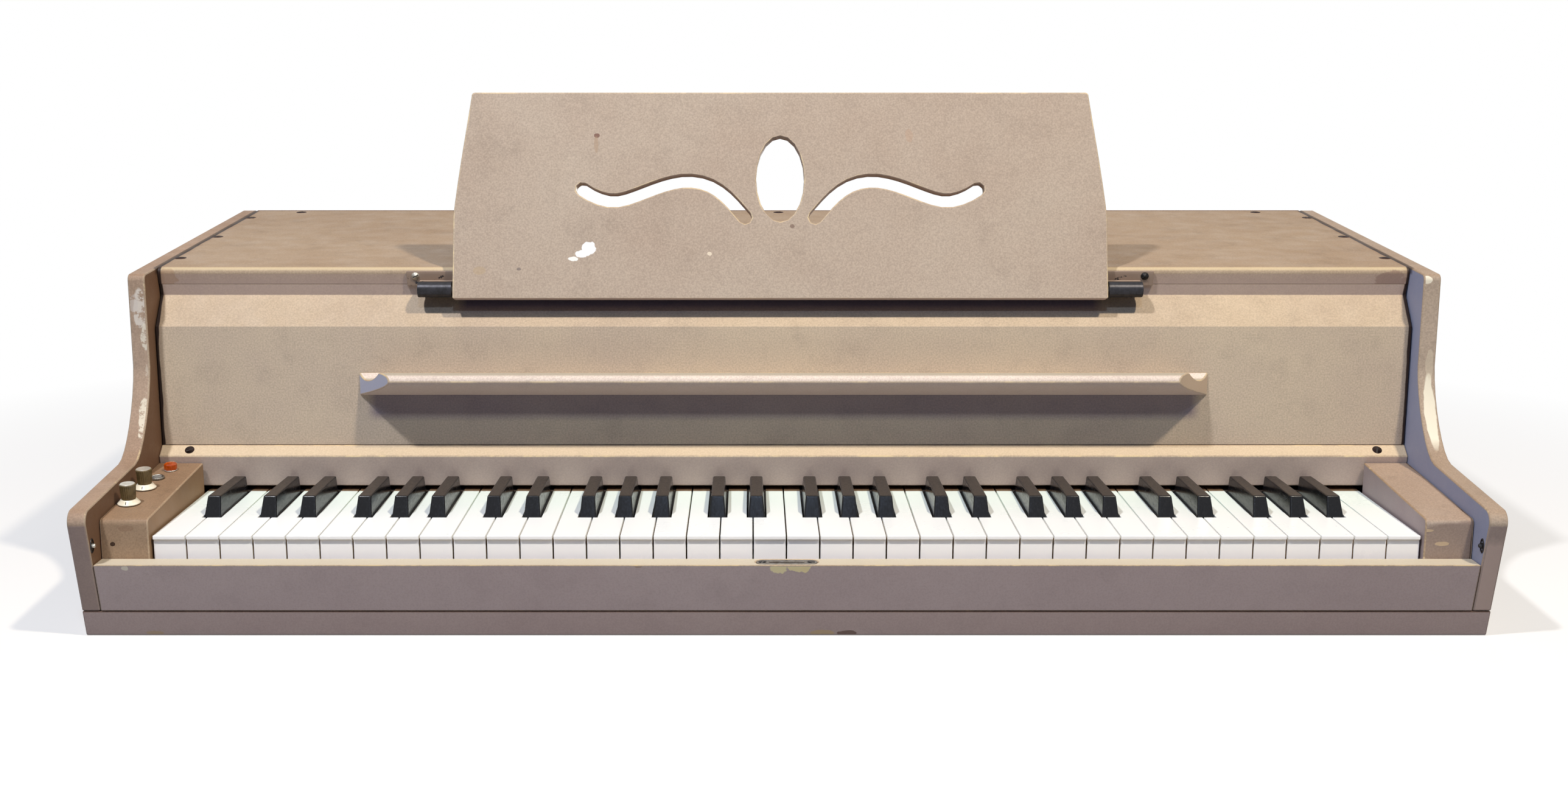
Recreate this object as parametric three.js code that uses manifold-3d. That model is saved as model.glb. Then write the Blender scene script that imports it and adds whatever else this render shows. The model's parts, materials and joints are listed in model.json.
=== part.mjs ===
import * as THREE from 'three';
import { mergeVertices } from 'three/addons/utils/BufferGeometryUtils.js';
import Module from 'manifold-3d';

const wasm = await Module();
wasm.setup();

// Small electric piano of 64 keys with a folding music desk.
// Lengths are in millimetres: +X to the player's right, +Y away from the player, +Z up.
// A place y is counted back from the foremost point of the case, and z up from its underside.

// Shared values
const seam = 0.3;
const overrun = 6;
const weldDistance = 0.001;
const quarterTurn = Math.PI / 2;

// Keyboard
const keyCount = 64;
const firstMovingKey = 15;
const movingKeyCount = 35;
const whitePitch = 23.5;
const keyGap = 1;
const keyThick = 21;
const keyLength = 343;
const headLength = 51.8;
const balanceSetback = 200;
const coverThick = 2.8;
const lipDepth = 1.6;
const tailGap = 0.9;
const blackBaseWidth = 12.6;
const blackTopWidth = 9.4;
const blackRise = 14;
const blackBackDrop = 1.6;
const blackSlope = 9;
const blackSunk = 4;
const blackLength = 78;
const blackStickDrop = 0.6;
const mortiseWidth = 4.2;
const mortiseLength = 7;
const dipDegrees = 2.75;
const blackOffset_shares = { c_sharp: -0.11, d_sharp: 0.11, f_sharp: -0.15, g_sharp: 0, a_sharp: 0.15 };

// Key frame
const balanceRise = 30;
const balanceRailWidth = 30;
const beadWidth = 8;
const beadTopWidth = 4.6;
const beadRise = 4;
const frontRailSetback = 16;
const frontRailWidth = 60;
const punchThick = 1;
const backRailWidth = 25;
const backRailInset = 2;
const tieWidth = 40;
const tieThick = 8;
const tieCount = 4;
const pinRadius = 1.8;
const pinStand = 2;
const whitePinSetback = 26;
const blackPinSetback = 66;
const frontPinWidth = 3.4;
const frontPinLength = 4.4;
const frontPinReach = 3.5;
const frontPocketDepth = 14;

// Case boards
const sideThick = 13;
const baseThick = 19;
const topThick = 13;
const backThick = 5;
const cheekWidth = 35;
const cheekGap = 1;
const lidGap = 0.6;
const endGap = 1.2;
const cleatSize = 20;

// Side panel outline
const frontRake = 22;
const noseRadius = 9;
const armRise = 24.9;
const armSlopeDegrees = 5.2;
const sweepStart = 46;
const sweepLowHandle = 18;
const sweepHighHandle = 27;
const sweepInset = 3;
const sweepEndDrop = 70;
const uprightLead = 12;
const upperCaseHeight = 134.5;
const roofRise = 20;
const upperCornerRadius = 5;
const backCornerRadius = 3;

// Key slip and lock
const slipHeight = 36;
const slipThick = 17;
const slipToKey = 4;
const lockLength = 43;
const lockWidth = 11;
const lockThick = 1.2;
const lockSlotLength = 25;
const lockSlotWidth = 3;
const lockSlotDepth = 14;

// Fall strip
const stripGap = 3.4;
const stripReach = 136.2;
const stripFaceHeight = 24.5;
const stripFaceLean = 5;
const stripBevelRise = 7;
const stripBevelDepth = 9;
const stripBack = 19;

// Front panel
const panelThick = 13;
const bevelRise = 22;
const fasciaHeight = 8.7;
const railDepth = 22;
const railHeight = 24;
const nosingSetback = 14;
const nosingRadius = 5;
const nosingLeanDegrees = 12;

// Music ledge
const ledgeLength = 653;
const ledgeDepth = 28;
const ledgeFootRise = 39;
const ledgeHeight = 20.9;
const ledgeBackDrop = 2.8;
const grooveDepth = 7.9;
const grooveSetback = 7;
const beadReach = 19;
const ledgeNoseDrop = 6;

// Music desk
const deskOffset = -2.7;
const deskWidth = 499.6;
const deskTopInset = 13;
const deskHeight = 159;
const deskStraight = 62;
const deskThick = 12;
const deskLeanDegrees = 15;
const deskFoot = 7.4;
const deskCornerRadius = 3;
const hingeDrop = 15.8;
const ovalHalfWidth = 18.4;
const ovalHalfHeight = 33.2;
const ovalRise = 92;
const scrollWidth = 10.2;

// Desk hinge brackets
const barrelRadius = 6;
const barrelLength = 26;
const barrelGap = 1;
const deskPinRadius = 3;
const flangeThick = 2;
const flangeHeight = 11.5;
const flangeLength = 36;
const webThick = 5;

// Cheek blocks and controls
const cheekHeight = 64.2;
const cheekSlopeDegrees = 4.2;
const cheekEdgeRadius = 4;
const cheekFrontGap = 0.4;
const knobInset = 10.4;
const fuseInset = 11.6;
const lampInset = 15.4;
const skirtRadius = 8;
const skirtNeck = 5.4;
const skirtHeight = 3.5;
const knobHeight = 15;
const knobFootRadius = 5.1;
const knobTopRadius = 5.9;
const knobFloat = 0.6;
const shaftRadius = 3;
const shaftLength = 14;
const volumeSetback = 34;
const tremoloSetback = 70;
const fuseSetback = 94;
const lampSetback = 115;
const fuseRadius = 5.6;
const fuseHeight = 2.4;
const fuseStem = 8;
const lampRadius = 4.9;
const lampHeight = 6;
const lampStem = 6;

// Hammer action and reeds
const actionPlateThick = 6;
const actionPlateGap = 6;
const actionPlateLead = 21;
const actionPlateOverhang = 28;
const actionRailRise = 24.5;
const actionRailDepth = 25;
const actionRailHeight = 20;
const hammerGap = 7;
const hammerShank = 3.2;
const hammerHeadDepth = 12;
const hammerHeadHeight = 26;
const hammerHeadWidth = 9;
const reedRise = 99.7;
const reedBarDepth = 34;
const reedBarHeight = 15;
const reedWidth = 5;
const reedThick = 1.2;
const bassReedLength = 58;
const trebleReedLength = 26;

// Loudspeaker and amplifier
const speakerRadius = 82;
const speakerPlace = 250;
const speakerFlange = 6;
const coneDepth = 38;
const magnetRadius = 32;
const magnetDepth = 18;
const magnetClearance = 11.9;
const soundSlotWidth = 3.6;
const soundSlotPitch = 14;
const soundSlotCount = 9;
const soundSlotInset = 16;
const ampPlace = 250;
const ampLength = 260;
const ampDepth = 72;
const ampHeight = 45;
const ampInset = 6;
const transformerLength = 74;
const transformerDepth = 54;
const transformerHeight = 58;
const valveRadius = 11;
const valveHeight = 66;
const valvePitch = 42;
const valveCount = 3;
const glandRadius = 8;
const glandBore = 3.5;
const glandRecess = 2;
const glandInset = 30;

// Seats in the underside for the leg plates
const legSeatSize = 62;
const legSeatDepth = 2.4;
const legSeatInset = 40;

// Solids from closed geometries
function solidOf(geometry) {
  const bare = geometry.clone();
  bare.deleteAttribute('normal');
  bare.deleteAttribute('uv');
  const welded = mergeVertices(bare, weldDistance);
  const vertProperties = new Float32Array(welded.attributes.position.array);
  const triVerts = new Uint32Array(welded.index.array);
  return new wasm.Manifold(new wasm.Mesh({ numProp: 3, vertProperties, triVerts }));
}

function geometryOf(solid) {
  const { vertProperties, triVerts } = solid.getMesh();
  const geometry = new THREE.BufferGeometry();
  geometry.setAttribute('position', new THREE.BufferAttribute(vertProperties, 3));
  geometry.setIndex(new THREE.BufferAttribute(triVerts, 1));
  geometry.computeVertexNormals();
  return geometry;
}

function joined(solids) {
  return solids.reduce((whole, solid) => whole.add(solid));
}

function block(x0, x1, y0, y1, z0, z1) {
  const geometry = new THREE.BoxGeometry(x1 - x0, y1 - y0, z1 - z0);
  geometry.translate((x0 + x1) / 2, (y0 + y1) / 2, (z0 + z1) / 2);
  return solidOf(geometry);
}

// A box whose top face is narrower, shorter or lower at one end than its foot
function taperedBlock(foot, top) {
  const geometry = new THREE.BoxGeometry(1, 1, 1);
  const place = geometry.attributes.position;
  for (let i = 0; i < place.count; i += 1) {
    const end = place.getZ(i) > 0 ? top : foot;
    const x = place.getX(i) > 0 ? end.halfWidth : -end.halfWidth;
    const y = place.getY(i) > 0 ? end.back : end.front;
    const z = place.getY(i) > 0 ? end.backHeight : end.frontHeight;
    place.setXYZ(i, x, y, z);
  }
  return solidOf(geometry);
}

// A profile drawn in y and z, and run along X
function runAlongX(profile, x0, x1, curveSegments = 6) {
  const depth = x1 - x0;
  const geometry = new THREE.ExtrudeGeometry(profile, { depth, bevelEnabled: false, curveSegments });
  const axes = [new THREE.Vector3(0, 1, 0), new THREE.Vector3(0, 0, 1), new THREE.Vector3(1, 0, 0)];
  geometry.applyMatrix4(new THREE.Matrix4().makeBasis(...axes));
  geometry.translate(x0, 0, 0);
  return solidOf(geometry);
}

// A plan drawn in x and y, and raised from z0 to z1
function raise(plan, z0, z1, curveSegments = 6) {
  const depth = z1 - z0;
  const geometry = new THREE.ExtrudeGeometry(plan, { depth, bevelEnabled: false, curveSegments });
  geometry.translate(0, 0, z0);
  return solidOf(geometry);
}

function post(radius, x, y, z0, z1, sides = 12) {
  const geometry = new THREE.CylinderGeometry(radius, radius, z1 - z0, sides);
  geometry.rotateX(quarterTurn);
  geometry.translate(x, y, (z0 + z1) / 2);
  return solidOf(geometry);
}

function rodAlongX(radius, x0, x1, y, z, sides = 16) {
  const geometry = new THREE.CylinderGeometry(radius, radius, x1 - x0, sides);
  geometry.rotateZ(quarterTurn);
  geometry.translate((x0 + x1) / 2, y, z);
  return solidOf(geometry);
}

function rodAlongY(radius, x, z, y0, y1, sides = 12) {
  const geometry = new THREE.CylinderGeometry(radius, radius, y1 - y0, sides);
  geometry.translate(x, (y0 + y1) / 2, z);
  return solidOf(geometry);
}

function turned(points, sides = 16) {
  const profile = points.map(([radius, height]) => new THREE.Vector2(radius, height));
  const geometry = new THREE.LatheGeometry(profile, sides);
  geometry.rotateX(quarterTurn);
  return solidOf(geometry);
}

function outline(points) {
  return new THREE.Shape(points.map(([a, b]) => new THREE.Vector2(a, b)));
}

// Two distances from the middle of the piano, in rising order of x on the given side
function span(side, near, far) {
  return side > 0 ? [near, far] : [-far, -near];
}

// Materials
function finish(color, roughness, metalness = 0) {
  return new THREE.MeshStandardMaterial({ color, roughness, metalness, flatShading: true });
}

const beigePaint = () => finish(0xb3a18d, 0.55);
const rawWood = () => finish(0xb08a5c, 0.7);
const ivoryPlastic = () => finish(0xe4e8e2, 0.25);
const blackPlastic = () => finish(0x111113, 0.2);
const darkSteel = () => finish(0x3a3838, 0.4, 0.8);
const greySteel = () => finish(0x8b8b8c, 0.35, 0.9);

function part(parent, name, solid, material, place = [0, 0, 0]) {
  const mesh = new THREE.Mesh(geometryOf(solid), material);
  mesh.name = name;
  mesh.position.set(...place);
  parent.add(mesh);
  return mesh;
}

// Heights that the pieces stack up to
const dip = THREE.MathUtils.degToRad(dipDegrees);
const baseTop = baseThick + seam;
const hingeHeight = baseTop + balanceRise;
const keyTop = hingeHeight + seam + keyThick;
const slipTop = baseTop + slipHeight;
const stripFoot = keyTop + stripGap;
const stripEdge = stripFoot + stripFaceHeight;
const stripTop = stripEdge + stripBevelRise;
const panelFoot = stripTop + seam;
const uprightHeight = panelFoot + upperCaseHeight - seam;

// Raked front line, tangent to the round nose of the arms
const armSlope = THREE.MathUtils.degToRad(armSlopeDegrees);
const armTop = keyTop + armRise;
const noseHeight = armTop - noseRadius * Math.cos(armSlope);
const rakeReach = Math.hypot(frontRake - noseRadius, noseHeight);
const rakeAngle = Math.atan2(frontRake - noseRadius, noseHeight) + Math.asin(noseRadius / rakeReach);
const frontAt = (z) => frontRake - z * Math.tan(rakeAngle);

// Depths that the pieces stack up to
const slipBack = frontAt(slipTop) + slipThick;
const keyFront = slipBack + slipToKey;
const hingeSetback = keyFront + balanceSetback;
const keyBack = keyFront + keyLength;
const stripFace = keyFront + stripReach;
const stripNose = stripFace - stripFaceLean;
const panelFace = stripNose + stripBevelDepth;
const uprightSetback = stripFace - uprightLead;
const nosingFront = panelFace + nosingSetback;
const plateBack = keyBack + actionPlateOverhang;
const speakerDepth = speakerFlange + coneDepth + magnetDepth;
const backFace = plateBack + magnetClearance + speakerDepth + seam;
const caseDepth = backFace + backThick;
const backRailFront = keyBack - backRailInset - backRailWidth;

// Roof line, which climbs from the upright edge to the back
const roofSlope = roofRise / (caseDepth - uprightSetback);
const roofAt = (y) => uprightHeight + (y - uprightSetback) * roofSlope;
const roofUnder = (y) => roofAt(y) - topThick;

// Front face of the top board, which leans back from the rounding down to the slanted rail
const nosingLean = Math.tan(THREE.MathUtils.degToRad(nosingLeanDegrees));
const nosingHead = roofAt(nosingFront) - nosingRadius;
const nosingAt = (z) => nosingFront + Math.max(0, nosingHead - z) * nosingLean;
const nosingBack = nosingAt(roofUnder(nosingFront));

// Places of the back panel's batten and the loudspeaker
const battenFront = backFace - seam - cleatSize;
const battenFoot = roofUnder(battenFront) - seam - cleatSize;
const speakerHeight = (baseTop + battenFoot) / 2;

// Places across the keyboard
const noteNames = [
  'a', 'a_sharp', 'b', 'c', 'c_sharp', 'd', 'd_sharp', 'e', 'f', 'f_sharp', 'g', 'g_sharp',
];
const firstC = noteNames.indexOf('c');
const firstOctave = 2;

function layOutKeys() {
  const keys = [];
  let whites = 0;
  for (let index = 0; index < keyCount; index += 1) {
    const note = noteNames[index % noteNames.length];
    const octave = firstOctave + Math.floor((index - firstC) / noteNames.length);
    const black = note.endsWith('sharp');
    keys.push({ index, note, octave, black, whites });
    whites += black ? 0 : 1;
  }
  const keyboardLeft = -whites * whitePitch / 2;
  for (const key of keys) {
    const shift = key.black ? blackOffset_shares[key.note] : 1 / 2;
    key.x = keyboardLeft + (key.whites + shift) * whitePitch;
    key.name = `key_${key.note}${key.octave}`;
    key.moves = key.index >= firstMovingKey && key.index < firstMovingKey + movingKeyCount;
  }
  return { keys, keyboardHalf: -keyboardLeft };
}

const { keys, keyboardHalf } = layOutKeys();
const cheekInner = keyboardHalf + cheekGap;
const innerHalf = cheekInner + cheekWidth - cheekGap + seam;
const caseHalf = innerHalf + sideThick;

const piano = new THREE.Group();
piano.position.set(0, -caseDepth / 2, 0);

// Base board with a raked front edge and four seats for leg plates
function baseBoard() {
  const profile = outline([
    [frontRake, 0],
    [caseDepth, 0],
    [caseDepth, baseThick],
    [frontAt(baseThick), baseThick],
  ]);
  let board = runAlongX(profile, -caseHalf, caseHalf);
  for (const side of [-1, 1]) {
    for (const y of [frontRake + legSeatInset, caseDepth - legSeatInset - legSeatSize]) {
      const [x0, x1] = span(side, caseHalf - legSeatInset - legSeatSize, caseHalf - legSeatInset);
      board = board.subtract(block(x0, x1, y, y + legSeatSize, -overrun, legSeatDepth));
    }
  }
  return board;
}

// Side panel with its arm, swept curve and a cleat under the top board
function sidePanel(side) {
  const armStart = noseRadius * (1 - Math.sin(armSlope));
  const sweepFoot = uprightSetback - sweepStart;
  const armAt = (y) => armTop + (y - armStart) * Math.tan(armSlope);
  const sweepHead = uprightHeight - sweepEndDrop;
  const profile = new THREE.Shape();
  profile.moveTo(caseDepth, baseTop);
  profile.lineTo(frontAt(baseTop), baseTop);
  profile.absarc(noseRadius, noseHeight, noseRadius, Math.PI + rakeAngle, quarterTurn + armSlope, true);
  profile.lineTo(sweepFoot, armAt(sweepFoot));
  profile.bezierCurveTo(
    sweepFoot + sweepLowHandle, armAt(sweepFoot + sweepLowHandle),
    uprightSetback - sweepInset, sweepHead - sweepHighHandle,
    uprightSetback, sweepHead,
  );
  profile.lineTo(uprightSetback, uprightHeight - upperCornerRadius);
  profile.quadraticCurveTo(
    uprightSetback, uprightHeight,
    uprightSetback + upperCornerRadius, roofAt(uprightSetback + upperCornerRadius),
  );
  profile.lineTo(caseDepth - backCornerRadius, roofAt(caseDepth - backCornerRadius));
  profile.quadraticCurveTo(caseDepth, roofAt(caseDepth), caseDepth, roofAt(caseDepth) - backCornerRadius);
  const cleatFront = nosingFront + railDepth + cleatSize;
  const cleatBack = backFace - cleatSize - cleatSize / 2;
  const cleat = outline([
    [cleatFront, roofUnder(cleatFront) - seam],
    [cleatFront, roofUnder(cleatFront) - seam - cleatSize],
    [cleatBack, roofUnder(cleatBack) - seam - cleatSize],
    [cleatBack, roofUnder(cleatBack) - seam],
  ]);
  const panel = runAlongX(profile, ...span(side, innerHalf, caseHalf), 8);
  return panel.add(runAlongX(cleat, ...span(side, innerHalf - cleatSize, innerHalf + sideThick / 2)));
}

// Top board between the sides, flush with them, with a rounded and undercut front edge
function topBoard() {
  const back = backFace - seam;
  const half = innerHalf - lidGap;
  const profile = new THREE.Shape();
  profile.moveTo(nosingBack, roofUnder(nosingBack));
  profile.lineTo(back, roofUnder(back));
  profile.lineTo(back, roofAt(back));
  profile.lineTo(nosingFront + nosingRadius, roofAt(nosingFront + nosingRadius));
  profile.quadraticCurveTo(
    nosingFront, roofAt(nosingFront),
    nosingFront, nosingHead,
  );
  return runAlongX(profile, -half, half);
}

// Front panel with the slanted rail under the nosing, and a fascia in line with the nosing's face
function frontPanel() {
  const fasciaFoot = roofUnder(nosingFront) - fasciaHeight;
  const fascia = nosingAt(fasciaFoot);
  const railBack = fascia + railDepth;
  const railFoot = fasciaFoot - railHeight + fasciaHeight;
  const profile = outline([
    [panelFace, panelFoot],
    [panelFace + panelThick, panelFoot],
    [panelFace + panelThick, railFoot - railDepth],
    [railBack, railFoot],
    [railBack, roofUnder(railBack) - seam],
    [nosingBack, roofUnder(nosingBack) - seam],
    [fascia, fasciaFoot],
    [panelFace, fasciaFoot - bevelRise],
  ]);
  const half = innerHalf - endGap;
  return runAlongX(profile, -half, half);
}

// Ledge for sheet music: a groove against the panel, a round bead and mitred ends
function musicLedge() {
  const back = panelFace - seam;
  const foot = panelFoot + ledgeFootRise;
  const bead = foot + ledgeHeight;
  const groove = bead - grooveDepth;
  const profile = new THREE.Shape();
  profile.moveTo(back, foot);
  profile.lineTo(back, bead - ledgeBackDrop);
  profile.quadraticCurveTo(back - grooveSetback / 2, groove, back - grooveSetback, groove);
  profile.quadraticCurveTo(back - (grooveSetback + beadReach) / 2, groove, back - beadReach, bead);
  profile.quadraticCurveTo(back - ledgeDepth, bead, back - ledgeDepth, bead - ledgeNoseDrop);
  profile.quadraticCurveTo(back - ledgeDepth, bead - ledgeHeight / 2, back, foot);
  const half = ledgeLength / 2;
  let ledge = runAlongX(profile, -half, half, 5);
  for (const side of [-1, 1]) {
    const mitre = outline([
      [side * half, back],
      [side * (half - ledgeDepth - overrun), back - ledgeDepth - overrun],
      [side * (half + overrun), back - ledgeDepth - overrun],
      [side * (half + overrun), back],
    ]);
    ledge = ledge.subtract(raise(mitre, foot - overrun, bead + overrun));
  }
  return ledge;
}

// Fall strip behind the keys, with an undercut face and a bevelled top
function fallStrip() {
  const profile = outline([
    [stripFace, stripFoot],
    [panelFace + stripBack, stripFoot],
    [panelFace + stripBack, stripTop],
    [panelFace, stripTop],
    [stripNose, stripEdge],
  ]);
  const half = innerHalf - seam;
  return runAlongX(profile, -half, half);
}

// Key slip with a seat for the lock plate and the mortise of the lock below it
function keySlip() {
  const profile = outline([
    [frontAt(baseTop), baseTop],
    [slipBack, baseTop],
    [slipBack, slipTop],
    [frontAt(slipTop), slipTop],
  ]);
  const half = innerHalf - seam;
  const above = slipTop + overrun;
  const seatPlan = roundEnded(lockLength + 2 * seam, lockWidth + 2 * seam);
  const seat = raise(seatPlan, slipTop - lockThick - seam, above, 4);
  const mortise = raise(roundEnded(lockSlotLength, lockSlotWidth), slipTop - lockSlotDepth, above, 4);
  const place = [0, slipBack - slipThick / 2, 0];
  const slip = runAlongX(profile, -half, half).subtract(seat.translate(place));
  return slip.subtract(mortise.translate(place));
}

function roundEnded(length, width) {
  const reach = (length - width) / 2;
  const plan = new THREE.Shape();
  plan.absarc(reach, 0, width / 2, -quarterTurn, quarterTurn, false);
  plan.absarc(-reach, 0, width / 2, quarterTurn, quarterTurn + Math.PI, false);
  return plan;
}

function lockPlate() {
  const slot = raise(roundEnded(lockSlotLength, lockSlotWidth), -lockThick - overrun, overrun, 4);
  return raise(roundEnded(lockLength, lockWidth), -lockThick, 0, 4).subtract(slot);
}

// Back panel with its rear batten, sound slots and the cord gland's hole
function backPanel() {
  const panel = runAlongX(outline([
    [backFace, baseTop],
    [caseDepth, baseTop],
    [caseDepth, roofAt(caseDepth)],
    [backFace, roofAt(backFace)],
  ]), -innerHalf + seam, innerHalf - seam);
  const batten = runAlongX(outline([
    [battenFront, battenFoot],
    [backFace + backThick / 2, battenFoot],
    [backFace + backThick / 2, roofUnder(backFace) - seam],
    [battenFront, roofUnder(battenFront) - seam],
  ]), -innerHalf + seam, innerHalf - seam);
  let whole = panel.add(batten);
  for (let i = 0; i < soundSlotCount; i += 1) {
    const shift = (i - (soundSlotCount - 1) / 2) * soundSlotPitch;
    const reach = Math.sqrt((speakerRadius - soundSlotInset) ** 2 - shift ** 2);
    const x = -speakerPlace + shift;
    const [x0, x1] = [x - soundSlotWidth / 2, x + soundSlotWidth / 2];
    const [z0, z1] = [speakerHeight - reach, speakerHeight + reach];
    whole = whole.subtract(block(x0, x1, backFace - overrun, caseDepth + overrun, z0, z1));
  }
  const hole = rodAlongY(glandRadius + seam, glandX, glandZ, backFace - overrun, caseDepth + overrun);
  return whole.subtract(hole);
}

// Cheek block at one end of the keyboard, with bores for the controls on the left one
const cheekSlope = THREE.MathUtils.degToRad(cheekSlopeDegrees);
const cheekFront = slipBack + cheekFrontGap;
const cheekTop = (y) => baseTop + cheekHeight + (y - cheekFront) * Math.tan(cheekSlope);
const cheekBores = [
  [knobInset, volumeSetback, shaftRadius + seam, shaftLength + seam],
  [knobInset, tremoloSetback, shaftRadius + seam, shaftLength + seam],
  [fuseInset, fuseSetback, fuseRadius / 2 + seam, fuseStem + seam],
  [lampInset, lampSetback, lampRadius * 3 / 4 + seam, lampStem + seam],
];

function cheekBlock(side) {
  const back = stripNose - seam;
  const profile = new THREE.Shape();
  profile.moveTo(cheekFront, baseTop);
  profile.lineTo(back, baseTop);
  profile.lineTo(back, cheekTop(back));
  profile.lineTo(cheekFront + cheekEdgeRadius, cheekTop(cheekFront + cheekEdgeRadius));
  profile.quadraticCurveTo(
    cheekFront, cheekTop(cheekFront),
    cheekFront, cheekTop(cheekFront) - cheekEdgeRadius,
  );
  let cheek = runAlongX(profile, ...span(side, cheekInner, innerHalf - seam));
  if (side < 0) {
    for (const [inset, setback, radius, depth] of cheekBores) {
      const bore = post(radius, 0, 0, -depth, overrun).rotate([cheekSlopeDegrees, 0, 0]);
      const y = cheekFront + setback;
      cheek = cheek.subtract(bore.translate([inset - innerHalf, y, cheekTop(y)]));
    }
  }
  return cheek;
}

// A control stands square to the sloping top of the left cheek block
function controlStand(inset, setback) {
  const stand = new THREE.Group();
  const y = cheekFront + setback;
  stand.position.set(inset - innerHalf, y, cheekTop(y));
  stand.rotation.x = cheekSlope;
  piano.add(stand);
  return stand;
}

function controlKnob() {
  const top = knobFloat + knobHeight;
  const neck = knobFloat + skirtHeight;
  return turned([
    [0, -shaftLength],
    [shaftRadius, -shaftLength],
    [shaftRadius, knobFloat],
    [skirtRadius, knobFloat],
    [skirtRadius, knobFloat + knobFloat],
    [skirtNeck, neck],
    [knobFootRadius, neck],
    [knobTopRadius, top - knobFloat],
    [knobTopRadius - knobFloat, top],
    [0, top],
  ]);
}

function fuseCap() {
  return turned([
    [0, -fuseStem],
    [fuseRadius / 2, -fuseStem],
    [fuseRadius / 2, seam],
    [fuseRadius, seam],
    [fuseRadius, fuseHeight * 2 / 3],
    [fuseRadius * 3 / 4, fuseHeight * 3 / 4],
    [fuseRadius * 3 / 5, fuseHeight],
    [0, fuseHeight],
  ]);
}

function pilotLamp() {
  return turned([
    [0, -lampStem],
    [lampRadius * 3 / 4, -lampStem],
    [lampRadius * 3 / 4, seam],
    [lampRadius, seam],
    [lampRadius, lampHeight * 3 / 4],
    [lampRadius * 4 / 5, lampHeight],
    [0, lampHeight],
  ], 12);
}

// White key: head, notched tail and overhanging cover
function tailEdges(key) {
  const half = (whitePitch - keyGap) / 2;
  const reach = blackBaseWidth / 2 + tailGap;
  const left = keys[key.index - 1]?.black ? keys[key.index - 1].x + reach - key.x : -half;
  const right = keys[key.index + 1]?.black ? keys[key.index + 1].x - reach - key.x : half;
  return { half, left, right, centre: (left + right) / 2 };
}

function whiteKey(key, bored) {
  const { half, left, right, centre } = tailEdges(key);
  const front = -balanceSetback;
  const head = front + headLength;
  const back = front + keyLength;
  const plan = [[-half, front], [half, front]];
  if (right < half) plan.push([half, head], [right, head]);
  plan.push([right, back], [left, back]);
  if (left > -half) plan.push([left, head], [-half, head]);
  const top = seam + keyThick;
  const [x0, x1] = [-half - overrun, half + overrun];
  const lip = block(x0, x1, front - overrun, front + lipDepth, -overrun, top - coverThick);
  const solid = raise(outline(plan), seam, top).subtract(lip);
  return bored ? bore(solid, centre, whitePinSetback) : solid;
}

// Black key: a wooden stick with a tapered cap that slopes at the front
function blackKey() {
  const front = headLength + tailGap - balanceSetback;
  const back = keyLength - balanceSetback;
  const level = seam + keyThick;
  const half = blackBaseWidth / 2;
  const cap = taperedBlock(
    {
      halfWidth: half,
      front,
      back: front + blackLength,
      frontHeight: level - blackSunk,
      backHeight: level - blackSunk,
    },
    {
      halfWidth: blackTopWidth / 2,
      front: front + blackSlope,
      back: front + blackLength,
      frontHeight: level + blackRise,
      backHeight: level + blackRise - blackBackDrop,
    },
  );
  const stick = block(-half, half, front + lipDepth, back, seam, level - blackStickDrop);
  return bore(stick.add(cap), 0, blackPinSetback);
}

// Mortise of the balance pin, right through the key, and the pocket of the front pin under its head
function bore(key, tailCentre, frontPin) {
  const mortise = (x, y, top) => block(
    x - mortiseWidth / 2, x + mortiseWidth / 2,
    y - mortiseLength / 2, y + mortiseLength / 2,
    -overrun, top,
  );
  const balance = mortise(tailCentre, 0, seam + keyThick + overrun);
  return key.subtract(balance).subtract(mortise(0, frontPin - balanceSetback, seam + frontPocketDepth));
}

// Key frame: front rail, balance rail with its bead, both rows of pins, ties, and the outer white keys
function keyFrame() {
  const half = keyboardHalf - keyGap / 2;
  const railFront = keyFront + frontRailSetback;
  const frontRailTop = hingeHeight + seam - (hingeSetback - railFront) * Math.sin(dip) - punchThick;
  const frontRail = block(-half, half, railFront, railFront + frontRailWidth, baseTop, frontRailTop);
  const shoulder = hingeHeight - beadRise;
  const balanceRail = outline([
    [hingeSetback - balanceRailWidth / 2, baseTop],
    [hingeSetback + balanceRailWidth / 2, baseTop],
    [hingeSetback + balanceRailWidth / 2, shoulder],
    [hingeSetback + beadWidth / 2, shoulder],
    [hingeSetback + beadTopWidth / 2, hingeHeight],
    [hingeSetback - beadTopWidth / 2, hingeHeight],
    [hingeSetback - beadWidth / 2, shoulder],
    [hingeSetback - balanceRailWidth / 2, shoulder],
  ]);
  const pieces = [frontRail, runAlongX(balanceRail, -half, half)];
  const tieSpan = 2 * half - tieWidth;
  for (let i = 0; i < tieCount; i += 1) {
    const x = -half + tieSpan * i / (tieCount - 1);
    const ends = [railFront + seam, backRailFront - seam];
    pieces.push(block(x, x + tieWidth, ...ends, baseTop, baseTop + tieThick));
  }
  for (const key of keys) {
    const x = key.x + (key.black ? 0 : tailEdges(key).centre);
    const y = keyFront + (key.black ? blackPinSetback : whitePinSetback);
    pieces.push(post(pinRadius, x, hingeSetback, baseTop + tieThick, keyTop + pinStand, 6));
    pieces.push(block(
      key.x - frontPinWidth / 2, key.x + frontPinWidth / 2,
      y - frontPinLength / 2, y + frontPinLength / 2,
      baseTop + tieThick, hingeHeight + seam + frontPinReach,
    ));
    if (!key.black && !key.moves) {
      pieces.push(whiteKey(key, false).translate([key.x, hingeSetback, hingeHeight]));
    }
  }
  return joined(pieces);
}

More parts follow.
